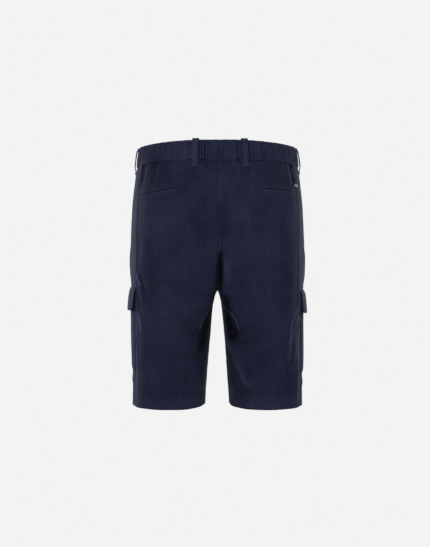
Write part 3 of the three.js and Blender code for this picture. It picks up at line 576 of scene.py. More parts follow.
@dataclass
class ClothMesh:
    """A mesh in the making, taken from a solid and refined."""

    node: str
    levels: int = 0
    cut: Cut = Cut.OUTER
    sharp: float = 48.0
    bm: bmesh.types.BMesh = field(default_factory=bmesh.new, repr=False)

    @property
    def half(self) -> Half:
        """The half where the solid lies."""
        low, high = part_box(self.node)
        return RIGHT if low.x + high.x > 0 else LEFT

    def outward(self, p: Vector) -> Vector:
        """Rough outward direction at a place of a body panel or of what lies on it."""
        side = 1.0 if p.x > 0 else -1.0
        return Vector((p.x - side * 0.09, p.y, 0.0))

    def push(self, v: bmesh.types.BMVert, distance: float) -> None:
        """Move a vertex outwards, or inwards where the distance in millimetres is negative."""
        v.co += self.outward(v.co).normalized() * distance * MM

    def take(self) -> "ClothMesh":
        """Copy the solid, join its triangles in fours and keep what the cut asks for.

        Returns:
            The same mesh, filled.
        """
        bm = self.bm
        bm.from_mesh(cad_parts[self.node].data)
        bmesh.ops.remove_doubles(bm, verts=bm.verts[:], dist=WELD)
        bmesh.ops.join_triangles(
            bm, faces=bm.faces[:], angle_face_threshold=0.9, angle_shape_threshold=1.6)
        bm.normal_update()
        if self.cut is Cut.OUTER:
            self.keep_outer()
        else:
            crease = bm.edges.layers.float.new("crease_edge")
            for edge in bm.edges:
                if len(edge.link_faces) == 2 and edge.calc_face_angle() > math.radians(self.sharp):
                    edge[crease] = CREASE_WEIGHT
        return self

    def keep_outer(self) -> None:
        """Delete all faces but those that join the most outward one without a sharp edge."""
        def facing(face: bmesh.types.BMFace) -> float:
            """Area of a face, weighed by how far it looks outwards."""
            centre = face.calc_center_median()
            return face.calc_area() * self.outward(centre).normalized().dot(face.normal)

        limit = math.radians(self.sharp)
        first = max(self.bm.faces, key=facing)
        kept = {first}
        front = [first]
        while front:
            face = front.pop()
            for edge in face.edges:
                if len(edge.link_faces) != 2 or edge.calc_face_angle() > limit:
                    continue
                for other in edge.link_faces:
                    if other not in kept:
                        kept.add(other)
                        front.append(other)
        rest = [face for face in self.bm.faces if face not in kept]
        bmesh.ops.delete(self.bm, geom=rest, context="FACES")

    def refine(self) -> "ClothMesh":
        """Round the mesh with a subdivision surface and keep the result.

        Returns:
            The same mesh, rounded.
        """
        mesh = bpy.data.meshes.new(self.node + "_work")
        self.bm.to_mesh(mesh)
        work = bpy.data.objects.new(self.node + "_work", mesh)
        bpy.context.scene.collection.objects.link(work)
        rounder = work.modifiers.new("Round", "SUBSURF")
        rounder.levels = self.levels
        rounder.render_levels = self.levels
        rounder.boundary_smooth = "PRESERVE_CORNERS"
        graph = bpy.context.evaluated_depsgraph_get()
        made = bpy.data.meshes.new_from_object(work.evaluated_get(graph))
        self.bm.clear()
        self.bm.from_mesh(made)
        bpy.data.objects.remove(work)
        bpy.data.meshes.remove(mesh)
        bpy.data.meshes.remove(made)
        self.bm.normal_update()
        return self

    def soften(self, times: int) -> "ClothMesh":
        """Even out the surface without moving its edges.

        Args:
            times: how often.

        Returns:
            The same mesh, softened.
        """
        even_out(self.bm, [v for v in self.bm.verts if not v.is_boundary], times)
        self.bm.normal_update()
        return self

    def edge_tree(self) -> KDTree:
        """Places of the upright edges of the sheet, to find how far a point is from a seam.

        Returns:
            A search tree of the edges' middles.
        """
        rim = []
        for edge in self.bm.edges:
            if edge.is_boundary:
                a, b = (v.co for v in edge.verts)
                level = (a.z + b.z) / 2 / MM
                is_flat = abs(a.z - b.z) < 0.35 * (a - b).length
                if not is_flat or (CROTCH_Z - 6 < level < -150):
                    rim.append((a + b) / 2)
        tree = KDTree(len(rim))
        for i, co in enumerate(rim):
            tree.insert(co, i)
        tree.balance()
        return tree

    def drape(self, form: ClothForm) -> "ClothMesh":
        """Move the sheet of a body panel out by the cloth's own relief.

        Args:
            form: the shape of the cloth.

        Returns:
            The same mesh, with its painted shade and painted highlights.
        """
        tree = self.edge_tree()
        shade = self.layer("shade")
        wear = self.layer("wear")
        half = self.half
        moves = []
        for v in self.bm.verts:
            p = v.co / MM
            _, _, gap = tree.find(v.co)
            gap /= MM
            out = form.lift(p, v.normal, half)
            at_side = smooth(100.0, 125.0, abs(p.x))
            seam = smooth(0.0, 5.0, gap)
            ridge = (0.3 + 0.8 * at_side) * bell(gap - 2.6, 2.0) - 0.35 * bell(gap, 1.2)
            pucker = 0.16 * math.sin(p.z / 6.1 + 2.0 * math.sin(p.z / 23.0)) * bell(gap - 3.0, 5.0)
            top = smooth(0.0, 3.0, -40.3 - p.z) if p.z > -60 else 1.0
            notch = form.notches(p)
            out = out * (0.25 + 0.75 * seam) + (ridge + pucker) * (1.0 - notch) - 2.0 * notch
            move = v.normal * (out * MM * top)
            if p.z > CROTCH_Z + 4.0:
                move.x *= smooth(0.0, 6.0, abs(p.x))
            move.y += form.seat(p) * MM
            moves.append((v, move))
            # Painted shade along the seams and in the pits beside the back loops.
            dark = max((0.5 - 0.25 * at_side) * bell(gap, 1.2), 0.95 * notch)
            across = abs(p.x)
            # Painted shadow in the slit over each back pocket's mouth, with a fainter shade just above it.
            for mouth in form.mouths:
                if mouth.half is half and p.y < -40.0 and -130 < p.z < -70:
                    above = p.z - mouth.level(across)
                    slit = max(bell(above - 0.9, 1.5), 0.3 * bell(above - 3.0, 4.0))
                    dark = max(dark, mouth.span(across) * slit)
            # Painted shade from the drawn shadow lines as well.
            v[shade] = clamp(max(dark, form.drawn("shadows", p, v.normal, half)))
            # Painted a little lighter towards the hem.
            hem = 0.1 * smooth(HEM_Z + 34.0, HEM_Z, p.z)
            # Painted highlight on the ridge beside the side seams, a little uneven.
            painted_light = at_side * bell(gap - 2.6, 1.6) * (0.4 + 0.4 * wander(p.x, p.y, p.z, 24.0, 3.0))
            v[wear] = clamp(max(painted_light, hem, form.drawn("highlight_lines", p, v.normal, half)))
        for v, move in moves:
            v.co += move
        self.bm.normal_update()
        return self

    def layer(self, name: str) -> object:
        """A float layer of the vertices, new or old."""
        floats = self.bm.verts.layers.float
        return floats.get(name) or floats.new(name)

    def note_relief(self, times: int, gain: float, base: float = 0.12) -> "ClothMesh":
        """Paint shade into the hollows and a highlight on the ridges, from how far each stands out.

        Args:
            times: how often the form is evened out to find its mean level.
            gain: the mark per millimetre.
            base: the height that the round form has everywhere.

        Returns:
            The same mesh, with its form unchanged.
        """
        shade = self.layer("shade")
        wear = self.layer("wear")
        inside = [v for v in self.bm.verts if not v.is_boundary]
        kept = [(v, v.co.copy(), v.normal.copy()) for v in self.bm.verts]
        start = {v: (v[shade], v[wear]) for v in inside}
        even_out(self.bm, inside, times)
        for v, co, normal in kept:
            height = (co - v.co).dot(normal) / MM - base
            v.co = co
            side = 1.0 + 2.0 * smooth(100.0, 138.0, abs(co.x / MM)) * smooth(-120.0, -60.0, co.z / MM)
            dark, painted_light = start.get(v, (v[shade], v[wear]))
            # Painted shade in hollows and painted highlight on ridges, stronger on the flanks near the
            # band.
            v[shade] = clamp(max(dark, -height * gain * side))
            v[wear] = clamp(max(painted_light, height * gain * 0.5 * side))
        self.bm.normal_update()
        return self

    def tuck(self, width: float, depth: float, lap: float) -> "ClothMesh":
        """Turn the sewn edges in under what they are sewn to, as seam allowances.

        Args:
            width: width of the strips at the band and the side seams, in millimetres.
            depth: how far a strip lies under the edge that it starts from, in millimetres.
            lap: width of the strip that a right half has under the left one at the centre.

        Returns:
            The same mesh with its strips.
        """
        sewn, centre = [], []
        for edge in self.bm.edges:
            if not edge.is_boundary:
                continue
            p = (edge.verts[0].co + edge.verts[1].co) / 2 / MM
            is_side = abs(p.x) > 120.0 and HEM_Z + 1.5 < p.z < -41.5 and p.y < -20.0
            if abs(p.x) < 1.2 and p.z > -290.0:
                centre.append(edge)
            elif "waistband" not in self.node and (
                    p.z > -41.5 or (is_side and self.node.startswith("back"))):
                sewn.append(edge)
        turns = {}
        for edge in sewn:
            for v in edge.verts:
                inner = [e.other_vert(v).co for e in v.link_edges if not e.is_boundary]
                if inner:
                    mean = sum(inner, Vector()) / len(inner)
                    away = (v.co - mean).normalized()
                    turns[v.co.to_tuple(7)] = (away * width - v.normal * depth) * MM
        self.strip(sewn, turns)
        if self.node.endswith("right"):
            self.strip(centre, self.lap_turns(centre, lap, depth))
        bmesh.ops.recalc_face_normals(self.bm, faces=self.bm.faces[:])
        facing = sum(
            face.normal.dot(self.outward(face.calc_center_median())) * face.calc_area()
            for face in self.bm.faces)
        if facing < 0.0:
            bmesh.ops.reverse_faces(self.bm, faces=self.bm.faces[:])
        self.bm.normal_update()
        return self

    def lap_turns(self, edges: list, lap: float, depth: float) -> dict[tuple, Vector]:
        """Moves that carry a right half's centre edge under the left half.

        Args:
            edges: the edges along the centre.
            lap: width of the strip in millimetres.
            depth: how far its free edge lies inside, in millimetres.

        Returns:
            The move of each vertex, by its place.
        """
        inward: dict[tuple, Vector] = {}
        for edge in edges:
            first, second = (v.co for v in edge.verts)
            across = (second - first).cross(Vector((1.0, 0.0, 0.0))).normalized()
            if across.dot((first + second) / 2 - Vector((0.0, 0.0, -180.0 * MM))) > 0.0:
                across.negate()
            for v in edge.verts:
                place = v.co.to_tuple(7)
                inward[place] = inward.get(place, Vector()) + across
        return {place: (Vector((-lap, 0.0, 0.0)) + way.normalized() * depth) * MM
                for place, way in inward.items()}

    def strip(self, edges: list, moves: dict[tuple, Vector]) -> None:
        """Add a strip along edges.

        Args:
            edges: the edges that the strip starts from.
            moves: the move of its free edge at each place.
        """
        made = bmesh.ops.extrude_edge_only(self.bm, edges=edges)["geom"]
        for v in made:
            if isinstance(v, bmesh.types.BMVert) and v.co.to_tuple(7) in moves:
                v.co += moves[v.co.to_tuple(7)]

    def weigh(self, amount: float, scale: float, seed: float) -> "ClothMesh":
        """Give a small piece a slight unevenness that leaves its thickness as it is.

        Args:
            amount: how far it goes, in millimetres.
            scale: how wide its bumps are.
            seed: where the noise is read.

        Returns:
            The same mesh, made uneven.
        """
        for v in self.bm.verts:
            p = v.co / MM
            self.push(v, amount * wander(p.x, p.y, p.z, scale, seed))
        self.bm.normal_update()
        return self

    def finish(self, name: str, material: bpy.types.Material, wall: float = 0.0) -> bpy.types.Object:
        """Make the object.

        Args:
            name: the piece's name.
            material: its finish.
            wall: thickness in millimetres that an open sheet gets on its inner side.

        Returns:
            The new object, linked to the scene.
        """
        piece = new_piece(self.bm, name, material)
        if wall:
            thick = piece.modifiers.new("Wall", "SOLIDIFY")
            thick.thickness = wall * MM
            thick.offset = -1.0
            thick.use_even_offset = True
            thick.use_rim = True
        return piece


class NodeTool:
    """Short ways to add and join nodes of a tree."""

    def __init__(self, tree: bpy.types.NodeTree) -> None:
        """Keep the tree."""
        self.tree = tree

    def add(self, kind: str, **inputs: object) -> bpy.types.Node:
        """Add a node and set named inputs or properties.

        Args:
            kind: the node's type name.
            **inputs: property names, or input names with their spaces as underscores. A socket
                as the value is linked.

        Returns:
            The new node.
        """
        node = self.tree.nodes.new(kind)
        for key, value in inputs.items():
            name = key.replace("_", " ")
            socket = next((s for s in node.inputs if s.name == name), None)
            if hasattr(node, key):
                setattr(node, key, value)
            elif isinstance(value, bpy.types.NodeSocket):
                self.join(value, socket)
            else:
                socket.default_value = value
        return node

    def ramp(self, factor: bpy.types.NodeSocket, dark: tuple, light: tuple) -> bpy.types.NodeSocket:
        """Go from a dark to a light colour by a factor.

        Args:
            factor: the socket that gives the factor.
            dark: place and colour of the start.
            light: place and colour of the end.

        Returns:
            The socket of the colour.
        """
        node = self.add("ShaderNodeValToRGB", Fac=factor)
        for i, (place, colour) in enumerate((dark, light)):
            node.color_ramp.elements[i].position = place
            node.color_ramp.elements[i].color = (*colour, 1.0)
        return node.outputs["Color"]

    def tint(self, mark: str, base: bpy.types.NodeSocket, colour: tuple) -> bpy.types.NodeSocket:
        """Mix a colour in where a vertex attribute marks the cloth.

        Args:
            mark: the attribute's name.
            base: the socket of the colour below.
            colour: the colour that is mixed in.

        Returns:
            The socket of the mixed colour.
        """
        factor = self.add("ShaderNodeAttribute", attribute_name=mark).outputs["Fac"]
        node = self.add("ShaderNodeMix", data_type="RGBA")
        below, above = [s for s in node.inputs if s.type == "RGBA"]
        above.default_value = (*colour, 1.0)
        self.join(factor, node.inputs["Factor"])
        self.join(base, below)
        return next(s for s in node.outputs if s.type == "RGBA")

    def weighted(self, first: bpy.types.NodeSocket, weight: float,
                 second: bpy.types.NodeSocket) -> bpy.types.NodeSocket:
        """Add a weighted value to another.

        Args:
            first: the value that is weighed.
            weight: its weight.
            second: the other value.

        Returns:
            The socket of the sum.
        """
        node = self.add("ShaderNodeMath", operation="MULTIPLY_ADD", Value=first)
        node.inputs[1].default_value = weight
        self.join(second, node.inputs[2])
        return node.outputs[0]

    @classmethod
    def material(cls, name: str, **inputs: object
                 ) -> tuple[bpy.types.Material, "NodeTool", bpy.types.Node]:
        """Start a material with one shader.

        Args:
            name: the material's name.
            **inputs: the shader's own values.

        Returns:
            The material, the tool for its tree and the shader.
        """
        material = bpy.data.materials.new(name)
        material.use_nodes = True
        material.node_tree.nodes.clear()
        tool = cls(material.node_tree)
        out = tool.add("ShaderNodeOutputMaterial")
        shader = tool.add("ShaderNodeBsdfPrincipled", **inputs)
        tool.join(shader.outputs[0], out.inputs["Surface"])
        return material, tool, shader

    def join(self, source: bpy.types.NodeSocket, target: bpy.types.NodeSocket) -> None:
        """Link two sockets."""
        self.tree.links.new(source, target)


class WeaveGroup:
    """The shared node group of the cloth: twill lines, upright streaks and soft mottling."""

    NAME = "twill_weave"

    def build(self) -> bpy.types.NodeTree:
        """Build the group once.

        Returns:
            The node group, with a Height and a Tone output.
        """
        if self.NAME in bpy.data.node_groups:
            return bpy.data.node_groups[self.NAME]
        group = bpy.data.node_groups.new(self.NAME, "ShaderNodeTree")
        for name, value in (("Twill", 900.0), ("Streak", 260.0), ("Mottle", 14.0)):
            socket = group.interface.new_socket(name, in_out="INPUT", socket_type="NodeSocketFloat")
            socket.default_value = value
        group.interface.new_socket("Height", in_out="OUTPUT", socket_type="NodeSocketFloat")
        group.interface.new_socket("Tone", in_out="OUTPUT", socket_type="NodeSocketFloat")
        tool = NodeTool(group)
        source = tool.add("NodeGroupInput")
        sink = tool.add("NodeGroupOutput")
        place = tool.add("ShaderNodeTexCoord").outputs["Object"]
        turned = (0.0, math.radians(52.0), math.radians(8.0))
        lean = tool.add("ShaderNodeMapping", Vector=place, Rotation=turned)
        twill = tool.add("ShaderNodeTexWave", wave_type="BANDS", bands_direction="X",
                         Vector=lean.outputs[0], Scale=source.outputs["Twill"],
                         Distortion=1.4, Detail=2.0, Detail_Scale=1.6)
        upright = tool.add("ShaderNodeMapping", Vector=place, Scale=(1.0, 1.0, 0.06))
        streak = tool.add("ShaderNodeTexNoise", Vector=upright.outputs[0],
                          Scale=source.outputs["Streak"], Detail=3.0, Roughness=0.6)
        mottle = tool.add("ShaderNodeTexNoise", Vector=place,
                          Scale=source.outputs["Mottle"], Detail=4.0, Roughness=0.55)
        grain = tool.add("ShaderNodeTexNoise", Vector=place, Scale=1500.0, Detail=2.0, Roughness=0.5)
        height = tool.weighted(twill.outputs["Fac"], 0.55, grain.outputs["Fac"])
        tool.join(height, sink.inputs["Height"])
        tone = tool.weighted(streak.outputs["Fac"], 0.6, mottle.outputs["Fac"])
        tool.join(tone, sink.inputs["Tone"])
        return group


@dataclass(frozen=True)
class TwillFinish:
    """Dark cotton twill: colours from shade to light, a colour of painted shade and one of painted
    highlight, and the depth of its weave.
    """

    name: str
    shade: tuple[float, float, float]
    light: tuple[float, float, float]
    # The colour of painted shade, mixed in where the shade attribute marks hollows, seams and slits.
    crease: tuple[float, float, float] = (0.0008, 0.0008, 0.0018)
    # The colour of painted highlights, mixed in along fold ridges, seam ridges and lips.
    painted_highlight_colour: tuple[float, float, float] = (0.03, 0.034, 0.066)
    roughness: float = 0.9
    sheen: float = 0.015
    bump: float = 0.12

    def build(self) -> bpy.types.Material:
        """Build the material.

        Returns:
            The finished cloth material.
        """
        material, tool, shader = NodeTool.material(
            self.name, Roughness=self.roughness, Specular_IOR_Level=0.02, Sheen_Weight=self.sheen,
            Sheen_Roughness=0.45, Sheen_Tint=(0.62, 0.68, 1.0, 1.0))
        weave = tool.add("ShaderNodeGroup")
        weave.node_tree = WeaveGroup().build()
        cloth = tool.ramp(weave.outputs["Tone"], (0.52, self.shade), (1.0, self.light))
        # Painted shade and then painted highlights are mixed into the cloth's colour.
        with_painted_shade = tool.tint("shade", cloth, self.crease)
        tool.join(tool.tint("wear", with_painted_shade, self.painted_highlight_colour), shader.inputs["Base Color"])
        bump = tool.add("ShaderNodeBump", Strength=self.bump, Distance=0.0004,
                        Height=weave.outputs["Height"])
        tool.join(bump.outputs["Normal"], shader.inputs["Normal"])
        return material


@dataclass(frozen=True)
class HardFinish:
    """A metal or plastic finish with fine brushing and worn tone."""

    name: str
    dark: tuple[float, float, float]
    light: tuple[float, float, float]
    metallic: float
    roughness: float
    grain: float

    def build(self) -> bpy.types.Material:
        """Build the material.

        Returns:
            The finished hard material.
        """
        material, tool, shader = NodeTool.material(
            self.name, Metallic=self.metallic, Roughness=self.roughness, Specular_IOR_Level=0.13)
        place = tool.add("ShaderNodeTexCoord").outputs["Object"]
        grain = tool.add("ShaderNodeTexNoise", Vector=place, Scale=self.grain, Detail=3.0).outputs["Fac"]
        tool.join(tool.ramp(grain, (0.3, self.dark), (0.7, self.light)), shader.inputs["Base Color"])
        bump = tool.add("ShaderNodeBump", Strength=0.08, Distance=0.0002, Height=grain)
        tool.join(bump.outputs["Normal"], shader.inputs["Normal"])
        return material


@dataclass
class Wardrobe:
    """The finishes of the shorts."""

    body: bpy.types.Material = field(
        default_factory=lambda: TwillFinish(
            "navy_twill", (0.0043, 0.0053, 0.0124), (0.0093, 0.0109, 0.0228)).build())
    band: bpy.types.Material = field(
        default_factory=lambda: TwillFinish(
            "navy_twill_band", (0.0055, 0.0067, 0.0153), (0.0108, 0.0125, 0.0262)).build())
    thread: bpy.types.Material = field(
        default_factory=lambda: TwillFinish(
            "navy_thread", (0.009, 0.0105, 0.022), (0.015, 0.017, 0.034), bump=0.03).build())
    plate: bpy.types.Material = field(
        default_factory=lambda: HardFinish(
            "dull_metal", (0.017, 0.0155, 0.009), (0.033, 0.030, 0.018), 0.2, 0.7, 700.0).build())
    horn: bpy.types.Material = field(
        default_factory=lambda: HardFinish(
            "navy_button", (0.006, 0.007, 0.013), (0.015, 0.017, 0.028), 0.0, 0.46, 240.0).build())


def declare(piece: bpy.types.Object, nodes: tuple[str, ...]) -> None:
    """Tie a piece to the root body and hide the solids that it stands for.

    Args:
        piece: the piece.
        nodes: names of the solids, or none.
    """
    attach(piece, "root")
    if nodes:
        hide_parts(*nodes)


@dataclass
class BodyPanels:
    """The two back and the two front panels."""

    wardrobe: Wardrobe
    back_flat: tuple[float, float] = (0.30, 0.52)
    back_area: float = 0.105
    front_flat: tuple[float, float] = (0.42, 0.52)
    front_area: float = 0.166
    wall: float = 1.2
    sheets: dict[str, BVHTree] = field(default_factory=dict)
    seams: dict[str, list[Vector]] = field(default_factory=dict)

    def build(self) -> list[bpy.types.Object]:
        """Build the four panels and keep a search tree of each.

        Returns:
            The pieces, in order.
        """
        made = []
        for side in ("back", "front"):
            for hand in ("left", "right"):
                name = f"{side}_panel_{hand}"
                form = ClothMesh(name, 3).take().refine().soften(4).drape(FORM)
                form.note_relief(14, 0.6)
                self.sheets[name] = BVHTree.FromBMesh(form.bm)
                rim = [v.co / MM for v in form.bm.verts if v.is_boundary and abs(v.co.x) > 0.12]
                self.seams[name] = sorted(
                    (p for p in rim if -512.0 < p.z < -46.0), key=lambda p: -p.z)[::4]
                form.tuck(2.6, 0.9, 6.0)
                piece = form.finish(f"{side}_panel_cloth_{hand}", self.wardrobe.body, self.wall)
                declare(piece, (name,))
                made.append(piece)
        return made


@dataclass(frozen=True)
class BandCrease:
    """An upright crease of the back band: its X, its slant, half its width and its height."""

    x: float
    slant: float
    width: float
    height: float
    top: float = -2.0
    foot: float = -38.0

    def lift(self, p: Vector) -> float:
        """Height of the crease at a place, in millimetres.

        Args:
            p: the place, in millimetres.

        Returns:
            How far the cloth stands out there.
        """
        rise = smooth(self.foot - 4.0, self.foot + 6.0, p.z)
        ends = rise * (1.0 - smooth(self.top - 6.0, self.top + 3.0, p.z))
        return self.height * ends * bell(p.x - self.x - self.slant * (p.z + 20.0), self.width)


# Each crease: its X, slant, half width and height.
BAND_CREASES = tuple(BandCrease(*row) for row in (
    (-31.0, 0.04, 1.7, -2.0), (-27.6, 0.05, 1.4, 1.8), (-24.4, 0.03, 1.4, -2.0),
    (-21.4, 0.06, 1.4, 1.7), (-18.4, 0.04, 1.5, -1.7), (-12.0, -0.05, 2.6, 0.5),
    (4.2, 0.02, 1.6, -1.5), (7.4, 0.03, 1.8, 0.9), (11.0, 0.02, 1.6, -0.9),
    (15.6, -0.03, 1.8, 0.8), (20.5, -0.04, 2.0, -0.6), (30.0, 0.04, 2.4, 0.5),
    (39.4, 0.02, 2.0, -1.9), (60.9, -0.02, 1.9, -2.0), (66.0, -0.04, 2.4, 0.7),
    (-55.0, 0.02, 1.6, -1.2), (70.0, 0.06, 2.2, -0.8), (80.0, -0.05, 2.4, 0.7),
    (92.0, 0.05, 2.2, -0.7), (-62.0, 0.05, 2.2, -0.7), (-74.0, -0.04, 2.6, 0.7),
    (-88.0, 0.05, 2.2, -0.8), (-104.0, 0.04, 2.2, -0.9), (108.0, -0.04, 2.2, -0.9),
))


@dataclass
class Waistband:
    """The elastic back band with its gathers, and the two plain front bands."""

    wardrobe: Wardrobe
    wall: float = 1.3
    sheets: dict[str, BVHTree] = field(default_factory=dict)

    def crumple(self, form: ClothMesh) -> None:
        """Add the uneven small creases of gathered cloth on elastic.

        Args:
            form: the piece in the making.
        """
        shade = form.layer("shade")
        for v in form.bm.verts:
            p = v.co / MM
            way = FORM.around(p) * (1 if p.x > 0 else -1)
            edge = smooth(0.0, 4.0, 0.3 - p.z) * smooth(0.0, 3.0, p.z + 40.0)
            lean = 0.05 * math.sin(way / 19.0) * p.z
            fine = math.sin((way + lean) / 6.1 * math.tau + 2.3 * math.sin(way / 17.0))
            side = smooth(100.0, 180.0, abs(way))
            bold = 0.0
            if p.y < -60.0:
                for crease in BAND_CREASES:
                    bold += crease.lift(p)
            uneven = 0.3 + 0.9 * abs(noise.noise(Vector((way / 21.0, p.z / 30.0, 1.9))))
            notch = FORM.notches(p)
            out = (edge * (uneven * (0.08 + 1.2 * side) * fine) + bold) * (1.0 - notch)
            out += 0.4 * noise.noise(Vector((way / 9.0, p.z / 16.0, 8.8)))
            v.co += v.normal * (out - 2.2 * notch) * MM
            # Painted shade along the band's lower seam and in the pits beside the loops.
            v[shade] = clamp(max(0.2 * bell(p.z + 40.0, 0.9), 0.95 * notch))
        form.bm.normal_update()

    def calm(self, form: ClothMesh, times: int) -> None:
        """Flatten the gathers a little where the elastic is stretched over the back.

        Args:
            form: the piece in the making.
            times: how often it is evened out.
        """
        middle = [
            v for v in form.bm.verts
            if not v.is_boundary and abs(FORM.around(v.co / MM)) < 150.0 and v.co.y < 0.0
        ]
        even_out(form.bm, middle, times, upright=False)

    def build(self) -> list[bpy.types.Object]:
        """Build the three bands.

        Returns:
            The pieces, in order.
        """
        made = []
        form = ClothMesh("waistband_back", 2, sharp=72.0).take().refine()
        self.calm(form, 3)
        self.crumple(form)
        form.note_relief(3, 0.9, 0.05)
        self.sheets["waistband_back"] = BVHTree.FromBMesh(form.bm)
        back = form.finish("waistband_cloth_back", self.wardrobe.band, self.wall)
        declare(back, ("waistband_back",))
        made.append(back)
        for hand in ("left", "right"):
            name = f"waistband_front_{hand}"
            form = ClothMesh(name, 3, sharp=60.0).take().refine().weigh(0.3, 18.0, 2.2)
            self.sheets[name] = BVHTree.FromBMesh(form.bm)
            form.tuck(0.0, 1.2, 20.0)
            piece = form.finish(f"waistband_cloth_front_{hand}", self.wardrobe.band, self.wall)
            declare(piece, (name,))
            made.append(piece)
        return made


def strap_out(middle: Vector) -> Vector:
    """Level outward direction at the middle of a belt loop."""
    return Vector((middle.x, middle.y * 1.25, 0.0)).normalized()


@dataclass
class BeltLoops:
    """Six straps of folded cloth over the band."""

    wardrobe: Wardrobe
    places: tuple[str, ...] = (
        "back_left", "back_right", "side_left", "side_right", "front_left", "front_right")
    sheets: dict[str, BVHTree] = field(default_factory=dict)

    @staticmethod
    def painted_light(form: ClothMesh, box: tuple[Vector, Vector]) -> None:
        """Paint a highlight on the strap's middle, a lighter line just above its foot, and shade on its
        folded edges and along its foot.

        Args:
            form: the piece in the making.
            box: the lowest and the highest corner of its solid.
        """
        shade = form.layer("shade")
        wear = form.layer("wear")
        low, high = box
        middle = (low + high) / 2
        out = strap_out(middle)
        across = Vector((-out.y, out.x, 0.0))
        for v in form.bm.verts:
            off = abs((v.co - middle).dot(across)) / MM
            foot = (v.co.z - low.z) / MM
            v[wear] = 0.08 * (1.0 - smooth(3.5, 5.8, off)) + 0.1 * bell(foot - 3.0, 1.8)
            v[shade] = clamp(max(0.45 * smooth(5.2, 6.6, off), 0.5 * bell(foot, 0.9)))

    def build(self) -> list[bpy.types.Object]:
        """Build each strap from its solid, with rounded edges.

        Returns:
            The pieces, in order.
        """
        made = []
        for place in self.places:
            node = f"belt_loop_{place}"
            form = ClothMesh(node, 3, Cut.WHOLE, sharp=CLOSED_SHARP).take().refine().weigh(0.25, 9.0, 4.4)
            self.sheets[node] = BVHTree.FromBMesh(form.bm)
            self.painted_light(form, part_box(node))
            piece = form.finish(f"belt_loop_strap_{place}", self.wardrobe.band)
            declare(piece, (node,))
            made.append(piece)
        return made


@dataclass
class BackPockets:
    """The welts of the back pockets and the small plain plate beside the right one."""

    wardrobe: Wardrobe
    sheets: dict[str, BVHTree] = field(default_factory=dict)

    def bed(self, form: ClothMesh) -> None:
        """Let the welt's foot and ends sink into the cloth, so that only its mouth stands out.

        Args:
            form: the piece in the making.
        """
        mouth = next(m for m in MOUTHS if m.half is form.half)
        shade = form.layer("shade")
        wear = form.layer("wear")
        for v in form.bm.verts:
            p = v.co / MM
            down = mouth.level(abs(p.x)) - p.z
            ends = max(smooth(9.0, 0.0, abs(p.x) - mouth.x0), smooth(-12.0, 0.0, abs(p.x) - mouth.x1))
            sink = max(smooth(3.0, 11.0, down), ends)
            v.co -= form.outward(v.co).normalized() * 1.3 * sink * MM
            # Painted shadow in the slit at the welt's top and a fainter one near its lower edge; painted
            # highlights along its lip and lower fold.
            v[shade] = clamp(max(bell(down + 0.4, 1.2), 0.22 * bell(down - 11.6, 1.3)))
            v[wear] = 0.16 * bell(down - 2.6, 1.3) + 0.1 * bell(down - 9.0, 1.2)
        form.bm.normal_update()

    def build(self) -> list[bpy.types.Object]:
        """Build both welts and dress the plate.

        Returns:
            The pieces, in order.
        """
        made = []
        for hand in ("left", "right"):
            node = f"back_welt_{hand}"
            form = ClothMesh(node, 3, Cut.WHOLE, sharp=CLOSED_SHARP).take().refine().weigh(0.3, 15.0, 6.1)
            self.bed(form)
            self.sheets[node] = BVHTree.FromBMesh(form.bm)
            piece = form.finish(f"back_welt_cloth_{hand}", self.wardrobe.body)
            declare(piece, (node,))
            made.append(piece)
        made.append(self.plate())
        return made

    def plate(self) -> bpy.types.Object:
        """The small metal plate, its edges broken by a bevel.

        Returns:
            The plate.
        """
        form = ClothMesh("back_plaque", cut=Cut.WHOLE)
        form.bm.from_mesh(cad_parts["back_plaque"].data)
        bmesh.ops.remove_doubles(form.bm, verts=form.bm.verts[:], dist=WELD)
        limit = math.radians(CLOSED_SHARP)
        edges = [e for e in form.bm.edges if e.is_manifold and e.calc_face_angle() > limit]
        bmesh.ops.bevel(
            form.bm, geom=edges, offset=0.28 * MM, offset_type="OFFSET", segments=3, profile=0.5,
            affect="EDGES", material=-1)
        piece = form.finish("back_plaque_plate", self.wardrobe.plate)
        declare(piece, ("back_plaque",))
        return piece


